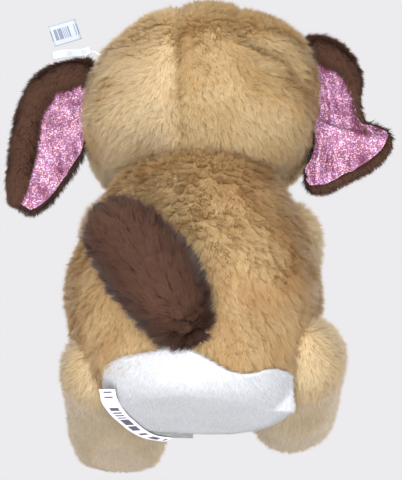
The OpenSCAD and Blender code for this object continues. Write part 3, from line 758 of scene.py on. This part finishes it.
for sideName, seed in (("left", 31), ("right", 35)):
    makeLimb(sideName + "Leg", "leg_" + sideName, f"leg_{sideName}_swing", sideName + "_leg", seed)
    makeLimb(sideName + "Arm", "arm_" + sideName, f"arm_{sideName}_swing", sideName + "_arm", seed + 1)
print("limbs made")


# ---------- white seat ----------

seat = {
    "pile": 3.6, "perMm2": 3.6, "low": 2.0, "wall": 3 * mm,
    # outline of the free front part seen from above, across and back
    "outline": [(-30, -37), (-8, -39.5), (14, -39.5), (31, -37), (43, -26), (51, -8), (57, 12), (60, 30),
                (54, 45), (24, 47), (-6, 47), (-36, 47), (-60, 45), (-70, 32), (-66, 12), (-57, -10),
                (-45, -26)],
    # height, half width and back of the rump
    "rump": [(0, 54, 52), (5, 65, 64), (15, 74, 71), (33, 83, 75.5), (60, 88, 77)],
}


def makeSeat():
    # One white panel: flat below, free in front, and climbing the rump behind to its seam.
    centre = np.array([-4, 6]) * mm
    flap = smoothPath(seat["outline"] + seat["outline"][:1], 400)[:-1] * mm - centre
    around = np.arctan2(flap[:, 1], flap[:, 0])
    order = np.argsort(around)
    turn = np.linspace(-math.pi, math.pi, 180, endpoint=False)
    reach = np.interp(turn, around[order], np.linalg.norm(flap[order], axis=1), period=2 * math.pi)
    ray = np.stack([np.cos(turn), np.sin(turn)], axis=1)
    behind = np.clip((reach * ray[:, 1] + centre[1] - 0.026) / 0.012, 0, 1)
    behind = behind * behind * (3 - 2 * behind)
    rump = smoothPath(seat["rump"], 60) * mm

    def rumpReach(z):
        # distance from the centre to the rump's outline at a height, along each ray
        w = np.interp(z, rump[:, 0], rump[:, 1])
        b = np.interp(z, rump[:, 0], rump[:, 2])
        p, q = centre[0] / w, centre[1] / b
        u, v = ray[:, 0] / w, ray[:, 1] / b
        k = p * u + q * v
        return (-k + np.sqrt(k * k - (u * u + v * v) * (p * p + q * q - 1))) / (u * u + v * v)

    low = np.full(180, seat["low"] * mm)
    top = np.zeros(180)
    for _ in range(4):
        across = centre[0] + ray[:, 0] * (reach * (1 - behind) + behind * rumpReach(np.maximum(top, low)))
        seam = seatLine(np.stack([across, across, across], axis=1))
        top = (1 - behind) * 5.2 * mm + behind * (seam + 8 * mm)
    rows = []
    for share in (0.04, 0.2, 0.4, 0.6, 0.75, 0.88):
        edge = (reach * 0.97) * (1 - behind) + behind * rumpReach(low)
        flat = centre + ray * (share * edge)[:, None]
        rows.append(np.column_stack([flat, low]))
    for share in np.linspace(0, 1, 14):
        z = low + share * (top - low)
        rim = reach * (0.97 + 0.03 * math.sin(share * math.pi / 2))
        flat = centre + ray * (rim * (1 - behind) + behind * rumpReach(z))[:, None]
        rows.append(np.column_stack([flat, z]))
    rows = np.array(rows)
    verts, faces = closedRows(rows)
    faces = [f for f in faces if len(rows) * 180 + 1 not in f]
    skin = makePiece("seatPanel", verts[:-1], faces, whiteSkin)
    outward(skin)
    co, no = meshArrays(skin.data)
    co += no * (0.8 * mm * lumps(co, 0.03, 8))[:, None]
    setPoints(skin.data, co)
    walled(skin, seat["wall"])
    return skin


def seatComb(co, no):
    flow = np.zeros_like(co)
    flow[:, 0] = 0.2 * np.sign(co[:, 0])
    flow[:, 1] = -1
    flow[:, 2] = -0.6
    return flow


def seatCover(co, no):
    # Hairs only on the outside: below, and away from the middle.
    away = co[:, :2] - np.array([-4, 6]) * mm
    away /= np.linalg.norm(away, axis=1)[:, None] + 1e-9
    return ((no[:, :2] * away).sum(axis=1) - 0.8 * no[:, 2] > 0.15).astype(float)


seatSkin = makeSeat()
seatPile = growPile("seatPile", seatSkin, whitePlush, seatComb, seatCover, perMm2=seat["perMm2"],
                    length=seat["pile"], width=0.55, lean=1.0, tuft=5, pull=0.15, swirl=0.35, scatter=0.25,
                    seed=41, floor=0.0010)
for piece in (seatSkin, seatPile):
    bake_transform(piece)
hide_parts("seat_panel", "seat_flap")
print("seat made")


# ---------- tail ----------

tail = {
    "pile": 11, "perMm2": 4.0,
    # place along the stem, radius, and how far it stands out from the back
    "shape": [(-9, 0.6, 1), (-7, 7, 1), (0, 15, 3), (12, 20.5, 6), (28, 23.5, 6), (46, 24.5, 3), (64, 24, 0),
              (80, 21.5, 0), (91, 17, 0), (98, 10, 0), (101, 0.6, 0)],
    "leftward": 5 * mm,       # the lower half hangs a little to the toy's left
}


def makeTail():
    # Stuffed plume along the stem, thickest beyond its middle.
    base = np.array(joints["tail_wag"]["pos_m"])
    direction = corners("tail_stem")[1] - base
    direction /= np.linalg.norm(direction)
    side = np.cross(direction, (0, 1, 0))
    side /= np.linalg.norm(side)
    up = np.cross(side, direction)
    turn = fanOf(64)
    rows = []
    for s, r, out in smoothPath(tail["shape"], 70):
        hang = tail["leftward"] * np.clip(1 - s / 70, 0, 1)
        centre = base + direction * s * mm + np.array([hang, out * mm, 0])
        rows.append(centre + r * mm * (np.cos(turn)[:, None] * side + np.sin(turn)[:, None] * up))
    skin = makePiece("tailStuffed", *closedRows(rows), brownSkin)
    outward(skin)
    return skin, direction


tailSkin, tailWay = makeTail()
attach(tailSkin, "tail")
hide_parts("tail_plush")
tailPile = growPile("tailPile", tailSkin, brownPlush, lambda co, no: np.tile(tailWay, (len(co), 1)),
                    perMm2=tail["perMm2"], length=tail["pile"], tuft=8, pull=0.6, swirl=2.8, seed=51)
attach(tailPile, "tail")
print("tail made")


# ---------- ears ----------

ears = {
    # "roll" is the rolled brown edge: across, up and its radius; "inner" is the lining's inner edge
    "left": {
        "roll": [(84, 274, 10), (96, 272, 11), (108, 269, 10.5), (119, 262, 10), (127, 247, 9.5),
                 (131, 231, 9), (133, 214, 9), (134, 197, 8.5), (136, 181, 7.5), (137, 167, 5)],
        "inner": [(84, 252), (85, 240), (86, 228), (87, 216), (89, 206), (94, 196), (100, 186), (107, 175),
                  (115, 165), (125, 159)],
    },
    "right": {
        "roll": [(78, 300, 8), (92, 298, 10), (105, 290, 9), (114, 277, 6.5), (116, 262, 4), (118, 248, 3.5),
                 (122, 237, 3.5), (132, 235, 3), (142, 229, 2.5), (138, 216, 2.5), (129, 206, 2.5),
                 (117, 198, 2.5), (104, 191, 2.5), (92, 185, 3), (82, 185, 2.5)],
        "inner": [(80, 280), (82, 272), (83, 264), (84, 256), (84, 248), (84, 240), (84, 232), (84, 224),
                  (84, 216), (82, 208), (80, 203), (78, 199), (78, 195), (80, 192), (79, 189)],
    },
    # fold across the right ear, below which the lining stands out
    "ridge": [(78, 246), (97, 234), (129, 226), (142, 224)],
    "ridgeOut": 7 * mm, "ridgeSoft": 4 * mm, "ridgeReach": 30 * mm,
    "thick": 6 * mm, "pile": 6, "perMm2": 3.6, "wrinkle": 2.6 * mm,
    "liningOut": 1.2 * mm, "rings": 60, "liningPoints": 40,
}


def makeEar(side):
    sign = 1 if side == "left" else -1
    data = ears[side]
    rings = ears["rings"]
    low, high = corners("ear_" + side)
    yMid = (low[1] + high[1]) / 2
    roll = smoothPath(data["roll"], rings) * mm
    inner = smoothPath(data["inner"], rings) * mm
    width = 25
    # the flat of the ear: a closed pad between the roll and the inner edge
    pad, lining = [], []
    for k in range(rings):
        a, b = roll[k, :2], inner[k]
        across = np.linspace(0, 1, width)[:, None]
        flat = a + (b - a) * across
        dome = np.sin(np.pi * across[:, 0]) * 1.5 * mm
        frontY = np.full(width, yMid - ears["thick"] / 2) - dome
        backY = np.full(width, yMid + ears["thick"] / 2)
        ring = np.concatenate([np.stack([sign * flat[:, 0], frontY, flat[:, 1]], axis=1),
                               np.stack([sign * flat[::-1, 0], backY[::-1], flat[::-1, 1]], axis=1)])
        pad.append(ring)
    padPiece = makePiece("earPad", *closedRows(pad))
    outward(padPiece)
    # the roll: a fat tube that stands toward the lining's side
    turn = fanOf(24)
    tangent = np.gradient(roll[:, :2], axis=0)
    tangent /= np.linalg.norm(tangent, axis=1)[:, None]
    tube = []
    for k in range(rings):
        sideways = np.array([tangent[k, 1], 0, -tangent[k, 0]]) * np.array([sign, 1, 1])
        r = roll[k, 2]
        centre = np.array([sign * roll[k, 0], yMid + 0.35 * r, roll[k, 1]])
        ring = r * np.cos(turn)[:, None] * sideways
        tube.append(centre + ring + 0.85 * r * np.sin(turn)[:, None] * np.array([0, 1, 0]))
    tubePiece = makePiece("earRoll", *closedRows(tube))
    outward(tubePiece)
    offset = len(padPiece.data.vertices)
    verts = [tuple(v.co) for v in padPiece.data.vertices] + [tuple(v.co) for v in tubePiece.data.vertices]
    faces = [tuple(p.vertices) for p in padPiece.data.polygons]
    faces += [tuple(v + offset for v in p.vertices) for p in tubePiece.data.polygons]
    for piece in (padPiece, tubePiece):
        bpy.data.objects.remove(piece)
    skin = makePiece(side + "EarStuffed", verts, faces, brownSkin)
    remeshed(skin, 2.2 * mm, 6)
    # the lining: a wrinkled sheet from under the roll to the inner edge
    for k in range(rings):
        a, b = roll[k, :2], inner[k]
        across = np.linspace(0.02, 0.97, ears["liningPoints"])[:, None]
        flat = a + (b - a) * across
        outY = np.full(len(across), yMid + ears["thick"] / 2 + ears["liningOut"])
        lining.append(np.stack([sign * flat[:, 0], outY, flat[:, 1]], axis=1))
    sheetPiece = makePiece(side + "EarLining", *openRows(lining), pinkFoil)
    co, no = meshArrays(sheetPiece.data)
    fold = np.array([noise.noise(Vector((p[0] * 95, 4.0 * sign, p[2] * 28))) for p in co])
    crease = np.array([noise.noise(Vector((p[0] * 260, 9.0, p[2] * 90))) for p in co])
    co[:, 1] += ears["wrinkle"] * (np.abs(fold) * 2.2) + 0.8 * mm * np.abs(crease)
    if side == "right":
        ridge = smoothPath(ears["ridge"], 50) * mm
        below = np.interp(np.abs(co[:, 0]), ridge[:, 0], ridge[:, 1]) - co[:, 2]
        edge = np.interp(co[:, 2], [0.180, 0.200], [0, 1])
        stand = np.clip(below / ears["ridgeSoft"] + 0.5, 0, 1)
        stand *= np.exp(-np.clip(below, 0, 1) / ears["ridgeReach"])
        co[:, 1] += ears["ridgeOut"] * stand * edge
    setPoints(sheetPiece.data, co)
    return skin, sheetPiece, roll


for side, seed in (("left", 61), ("right", 65)):
    skin, lining, roll = makeEar(side)
    earBody = side + "_ear"
    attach(skin, earBody)
    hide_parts("ear_" + side)
    sign = 1 if side == "left" else -1

    def earCover(co, no, roll=roll, sign=sign):
        flat = co[:, [0, 2]] * np.array([sign, 1])
        d = np.linalg.norm(flat[:, None] - roll[None, :, :2], axis=2)
        near = d.min(axis=1) < roll[d.argmin(axis=1), 2] * 1.02
        return (near | (no[:, 1] < 0.2)).astype(float)

    def earComb(co, no, sign=sign):
        return np.tile([0.45 * sign, 0.1, -1], (len(co), 1))

    pile = growPile(side + "EarPile", skin, brownPlush, earComb, earCover,
                    perMm2=ears["perMm2"], length=ears["pile"], seed=seed)
    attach(pile, earBody)
    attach(lining, earBody)
    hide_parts("ear_lining_" + side)
print("ears made")


# ---------- face ----------

face = {
    "pile": 3.5, "perMm2": 2.0, "stitch": 1.0 * mm, "stitchOut": 2.2 * mm,
    "mouth": [[(0, 4), (0, -4), (0, -12)], [(0, -12), (7, -16), (16, -13)],
              [(0, -12), (-7, -16), (-16, -13)]],
}
muzzleLow, muzzleHigh = corners("muzzle")


def makeMuzzle():
    # Two soft cheeks and a chin in one skin.
    mid = (muzzleLow + muzzleHigh) / 2
    r = (muzzleHigh[0] - muzzleLow[0]) / 2 - 2 * mm
    lobes = [((0.38 * r, -0.10 * r, 0.05 * r), 0.70), ((-0.38 * r, -0.10 * r, 0.05 * r), 0.70),
             ((0, 0.05 * r, -0.40 * r), 0.55), ((0, 0.2 * r, 0.15 * r), 0.85)]
    verts, faces = [], []
    for offset, size in lobes:
        rows = []
        for polar in np.linspace(4, 176, 24):
            a = math.radians(polar)
            turn = fanOf(40)
            centre = np.array([mid[0], muzzleLow[1] + r, mid[2]]) + offset
            rows.append(centre + size * r * np.stack([math.sin(a) * np.cos(turn), math.sin(a) * np.sin(turn),
                                                      np.full(40, -math.cos(a))], axis=1))
        addSkin(verts, faces, rows)
    skin = makePiece("muzzleStuffed", verts, faces, creamSkin)
    remeshed(skin, 2.4 * mm, 8)
    return skin


muzzleSkin = makeMuzzle()
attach(muzzleSkin, "head")
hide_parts("muzzle")


def muzzleComb(co, no):
    return np.stack([6 * co[:, 0], np.full(len(co), 0.6), np.full(len(co), -0.3)], axis=1)


muzzlePile = growPile("muzzlePile", muzzleSkin, creamPlush, muzzleComb,
                      lambda co, no: (co[:, 1] < headLow[1] + 12 * mm).astype(float),
                      perMm2=face["perMm2"], length=face["pile"], width=0.5, lean=1.0,
                      pull=0.4, seed=71)
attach(muzzlePile, "head")


def tubeRows(path, radius):
    # Rings around a line, each square to it.
    path = np.asarray(path)
    way = np.gradient(path, axis=0)
    way /= np.linalg.norm(way, axis=1)[:, None]
    side = np.cross(way, (0, 1, 0.02))
    side /= np.linalg.norm(side, axis=1)[:, None]
    up = np.cross(side, way)
    turn = fanOf(10)[None, :, None]
    return path[:, None] + radius * (np.cos(turn) * side[:, None] + np.sin(turn) * up[:, None])


def makeMouth():
    # One stitched line below the nose that parts into a smile.
    mesh = muzzleSkin.data
    tree = BVHTree.FromPolygons([v.co for v in mesh.vertices], [p.vertices for p in mesh.polygons])
    mid = (muzzleLow + muzzleHigh) / 2
    thread = mouldedMaterial("mouthThread", (0.03, 0.018, 0.015), grain=900, bump=0.2)
    verts, faces = [], []
    for line in face["mouth"]:
        path = []
        for x, z in smoothPath(line, 20):
            before = Vector((mid[0] + x * mm, muzzleLow[1] - 0.05, mid[2] + z * mm))
            hit = tree.ray_cast(before, Vector((0, 1, 0)))
            if hit[0] is not None:
                path.append(np.array(hit[0]) - np.array([0, face["stitchOut"], 0]))
        addSkin(verts, faces, tubeRows(path, face["stitch"]))
    mouth = makePiece("mouthStitch", verts, faces, thread)
    outward(mouth)
    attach(mouth, "head")


makeMouth()
print("face made")


# ---------- label and tag ----------

label = {"width": 12 * mm, "thick": 0.4 * mm}


def printedMaterial(name, paper, ink, barScale, along, roughness, fill):
    # Plain printed bars of uneven width across a strip, as on a generic label.
    material, tree, shader = nodeMaterial(name, roughness)
    link = tree.links.new
    uv = addNode(tree, "ShaderNodeUVMap", uv_map="strip")
    split = addNode(tree, "ShaderNodeSeparateXYZ", {"Vector": uv.outputs["UV"]})
    cells = addNode(tree, "ShaderNodeTexWhiteNoise", noise_dimensions="1D")
    steps = addNode(tree, "ShaderNodeMath", {
        1: barScale, 0: split.outputs["X" if along else "Y"]}, operation="MULTIPLY")
    whole = addNode(tree, "ShaderNodeMath", {0: steps.outputs[0]}, operation="FLOOR")
    link(whole.outputs[0], cells.inputs["W"])
    dark = addNode(tree, "ShaderNodeMath", {1: fill, 0: cells.outputs["Value"]}, operation="LESS_THAN")
    band = addNode(tree, "ShaderNodeMath", {
        1: 0.5, 2: 0.27, 0: split.outputs["Y" if along else "X"]}, operation="COMPARE")
    printed = addNode(tree, "ShaderNodeMath", {
        0: dark.outputs[0], 1: band.outputs[0]}, operation="MULTIPLY")
    colour = addNode(tree, "ShaderNodeMix", {
        "A": (*paper, 1), "B": (*ink, 1), "Factor": printed.outputs[0]}, data_type="RGBA")
    link(colour.outputs["Result"], shader.inputs["Base Color"])
    return material


def stripPiece(name, path, across, width, thick, material):
    # A ribbon along a path, with a UV map that runs 0 to 1 along and across it.
    path = np.asarray(path)
    across = np.asarray(across)
    n = len(path)
    shares = np.linspace(-0.5, 0.5, 9)
    rows = path[:, None] + across[:, None] * (shares[None, :, None] * width)
    verts, faces = openRows(rows)
    piece = makePiece(name, verts, faces, material)
    layer = piece.data.uv_layers.new(name="strip")
    for poly in piece.data.polygons:
        for loop in poly.loop_indices:
            v = piece.data.loops[loop].vertex_index
            layer.data[loop].uv = (v // 9 / (n - 1), v % 9 / 8)
    walled(piece, thick)
    return piece


labelInk = printedMaterial("labelRibbon", (0.82, 0.80, 0.88), (0.06, 0.06, 0.09), 46, True, 0.6, 0.5)
labelPath = smoothPath([(60, 50, 7), (58, 36, 2), (53, 12, 0.5), (47, -10, 0.5), (40, -32, 0.5),
                        (31, -48, 0.5), (18, -56, 0.8)], 60) * mm
labelTangent = np.gradient(labelPath, axis=0)
labelTangent /= np.linalg.norm(labelTangent, axis=1)[:, None]
labelAcross = np.cross(labelTangent, (0, 0, 1))
careLabel = stripPiece("careLabel", labelPath, labelAcross, label["width"], label["thick"], labelInk)
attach(careLabel, "torso")
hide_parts("care_label")


tag = {
    # the card's lean, its offset from the CAD card, its size and thickness
    "cardLean": 20, "cardShift": (8, 0, 9), "cardWidth": 22 * mm, "cardHeight": 18, "cardThick": 0.7 * mm,
    # the same for the folded strip, and how far its wave stands out
    "stripLean": 12, "stripShift": (2, 0, 9), "stripWidth": 7 * mm, "stripLength": 30, "stripThick": 0.3 * mm,
    "wave": 1.2 * mm,
}


def makeTag():
    low, high = corners("hang_tag")
    lean = math.radians(tag["cardLean"])
    up = np.array([math.sin(lean), 0, math.cos(lean)])
    across = np.array([math.cos(lean), 0, -math.sin(lean)])
    bars = printedMaterial("tagCard", (0.34, 0.38, 0.45), (0.14, 0.16, 0.21), 34, False, 0.45, 0.5)
    mid = (low + high) / 2 + np.array(tag["cardShift"]) * mm
    half = tag["cardHeight"] / 2
    path = [mid + up * t * mm for t in np.linspace(-half, half, 12)]
    card = stripPiece("hangTag", path, [across] * 12, tag["cardWidth"], tag["cardThick"], bars)
    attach(card, "head")
    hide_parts("hang_tag")
    low, high = corners("tag_strip")
    paper = printedMaterial("stripPaper", (0.50, 0.54, 0.60), (0.42, 0.46, 0.53), 8, True, 0.5, 0.3)
    lean = math.radians(tag["stripLean"])
    across = np.array([math.sin(lean), 0, math.cos(lean)])
    along = np.array([math.cos(lean), 0, -math.sin(lean)])
    mid = (low + high) / 2 + np.array(tag["stripShift"]) * mm
    half = tag["stripLength"] / 2
    path = [mid + along * t * mm + np.array([0, tag["wave"] * math.sin(t / 5), 0])
            for t in np.linspace(-half, half, 24)]
    strip = stripPiece("tagStrip", path, [across] * 24, tag["stripWidth"], tag["stripThick"], paper)
    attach(strip, "head")
    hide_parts("tag_strip")


makeTag()
print("label and tag made")


# ---------- CAD parts that keep their shape ----------

finishes = {
    "eyes": mouldedMaterial("eyeGloss", (0.020, 0.010, 0.006), grain=60, bump=0.0, roughFromGrain=False,
                            Coat_Weight=1.0, Coat_Roughness=0.03),
    "nose": mouldedMaterial("noseGloss", (0.018, 0.012, 0.012), grain=700, bump=0.3, Coat_Weight=0.4),
    "eye_washers": mouldedMaterial("washerPlastic", (0.8, 0.78, 0.7)),
    "tag_fastener": mouldedMaterial("nylonLoop", (0.85, 0.86, 0.88)),
    "flap_hook_tape": clothMaterial("hookTape", (0.34, 0.36, 0.34), (0.48, 0.5, 0.47), 1500, 0.8, 0.9),
    "body_loop_tape": clothMaterial("loopTape", (0.36, 0.38, 0.36), (0.5, 0.52, 0.49), 1200, 0.9, 0.95),
    "battery_door": mouldedMaterial("doorPlastic", (0.62, 0.62, 0.6)),
    "batteries": mouldedMaterial("cellSleeve", (0.05, 0.12, 0.25), grain=200, bump=0.02, Coat_Weight=0.5),
    "battery_contacts": mouldedMaterial("contactNickel", (0.75, 0.74, 0.7), 1.0, 300),
    "circuit_board": mouldedMaterial("boardMask", (0.02, 0.16, 0.06), grain=500, Coat_Weight=0.4),
    "board_parts": mouldedMaterial("chipPackage", (0.03, 0.03, 0.035)),
    "switch_body": mouldedMaterial("switchCase", (0.04, 0.04, 0.045)),
    "button_switch": mouldedMaterial("switchDome", (0.05, 0.05, 0.05)),
    "power_switch": mouldedMaterial("switchKnob", (0.02, 0.02, 0.02)),
    "speaker": mouldedMaterial("speakerFrame", (0.05, 0.05, 0.055), 0.3),
    "chest_button": mouldedMaterial("buttonPlastic", (0.8, 0.78, 0.7)),
    "neck_bush": mouldedMaterial("bushBrass", (0.72, 0.52, 0.2), 1.0, 300),
    "tail_hub": mouldedMaterial("hubNylon", (0.75, 0.73, 0.66)),
    "tail_stem": mouldedMaterial("stemNylon", (0.78, 0.76, 0.7)),
}
housingPlastic = mouldedMaterial("housingPlastic", (0.60, 0.60, 0.58))
gearNylon = mouldedMaterial("gearNylon", (0.78, 0.77, 0.70))
turnedSteel = mouldedMaterial("turnedSteel", (0.55, 0.55, 0.56), 1.0, 400, 0.03)
for nodeName in ("front_housing", "rear_housing", "gear_plate", "head_frame"):
    finishes[nodeName] = housingPlastic
for nodeName in ("motor_pinion", "compound_gear", "neck_gear"):
    finishes[nodeName] = gearNylon
for nodeName in ("housing_screws", "battery_door_screw", "plate_screws", "neck_motor", "motor_shaft",
                 "compound_axle", "neck_shaft", "tail_shaft", "tail_gearmotor"):
    finishes[nodeName] = turnedSteel
for nodeName, material in finishes.items():
    node = frame["nodes"][nodeName]
    node.data.materials.clear()
    node.data.materials.append(material)
bpy.data.objects.remove(hairTemplateObject)
print("finishes set on", len(finishes), "parts")


# ---------- studio ----------

studio = {"ground": (0.80, 0.79, 0.80), "sky": (0.84, 0.83, 0.85),
          "distance": 1.4, "elevation": -21.0, "roll": 1.5,
          "target": (-0.002, 0.0, 0.138), "viewHeight": 0.354,
          # each light: where it is, what it faces, its width and its power
          "lights": {"key": ((0.9, 1.4, 1.0), (0, 0, 0.15), 0.8, 11),
                     "fill": ((-1.2, 1.2, -0.2), (0, 0, 0.12), 1.0, 8),
                     "low": ((0.1, 0.9, -0.8), (0, 0, 0.05), 0.8, 18),
                     "broad": ((0.1, 1.6, 0.25), (0, 0, 0.18), 1.2, 26),
                     "front": ((-0.8, -1.5, 1.0), (0, 0, 0.15), 1.0, 18)}}


def makeFloor():
    # Plain floor, seen only from above, so that a low camera looks straight past it.
    half = 3.0
    square = [(-half, -half, 0), (half, -half, 0), (half, half, 0), (-half, half, 0)]
    floor = makePiece("floor", square, [(0, 1, 2, 3)])
    material, tree, shader = nodeMaterial("floorPaper", 0.9)
    shader.inputs["Base Color"].default_value = (*studio["ground"], 1)
    side = addNode(tree, "ShaderNodeNewGeometry")
    clear = addNode(tree, "ShaderNodeBsdfTransparent")
    mix = addNode(tree, "ShaderNodeMixShader", {
        "Fac": side.outputs["Backfacing"], 1: shader.outputs["BSDF"], 2: clear.outputs["BSDF"]})
    tree.links.new(mix.outputs["Shader"], tree.nodes["Material Output"].inputs["Surface"])
    floor.data.materials.append(material)
    floor.visible_shadow = False
    floor.visible_diffuse = False
    floor.visible_glossy = False


def areaLight(name, place, target, size, power):
    light = bpy.data.lights.new(name, "AREA")
    light.size = size
    light.energy = power
    lamp = bpy.data.objects.new(name, light)
    lamp.location = place
    lamp.rotation_euler = (Vector(target) - Vector(place)).to_track_quat("-Z", "Y").to_euler()
    bpy.context.scene.collection.objects.link(lamp)


def makeStudio():
    makeFloor()
    world = bpy.data.worlds.new("studio")
    world.use_nodes = True
    world.node_tree.nodes["Background"].inputs["Color"].default_value = (*studio["sky"], 1)
    world.node_tree.nodes["Background"].inputs["Strength"].default_value = 1.0
    bpy.context.scene.world = world
    for name, (place, target, size, power) in studio["lights"].items():
        areaLight(name, place, target, size, power)


def makeCamera():
    e = math.radians(studio["elevation"])
    back = Vector((0, math.cos(e), math.sin(e)))
    camera = bpy.data.objects.new("camera", bpy.data.cameras.new("camera"))
    camera.data.sensor_fit = "VERTICAL"
    camera.data.sensor_height = 24
    camera.data.lens = 24 * studio["distance"] / studio["viewHeight"]
    camera.data.clip_end = 20
    target = Vector(studio["target"])
    aim = (-back).to_track_quat("-Z", "Y").to_matrix()
    turned = aim @ Matrix.Rotation(math.radians(studio["roll"]), 3, "Z")
    camera.location = target + back * studio["distance"]
    camera.rotation_euler = turned.to_euler()
    bpy.context.scene.collection.objects.link(camera)
    bpy.context.scene.camera = camera


makeStudio()
makeCamera()
bpy.context.scene.view_settings.view_transform = "Standard"
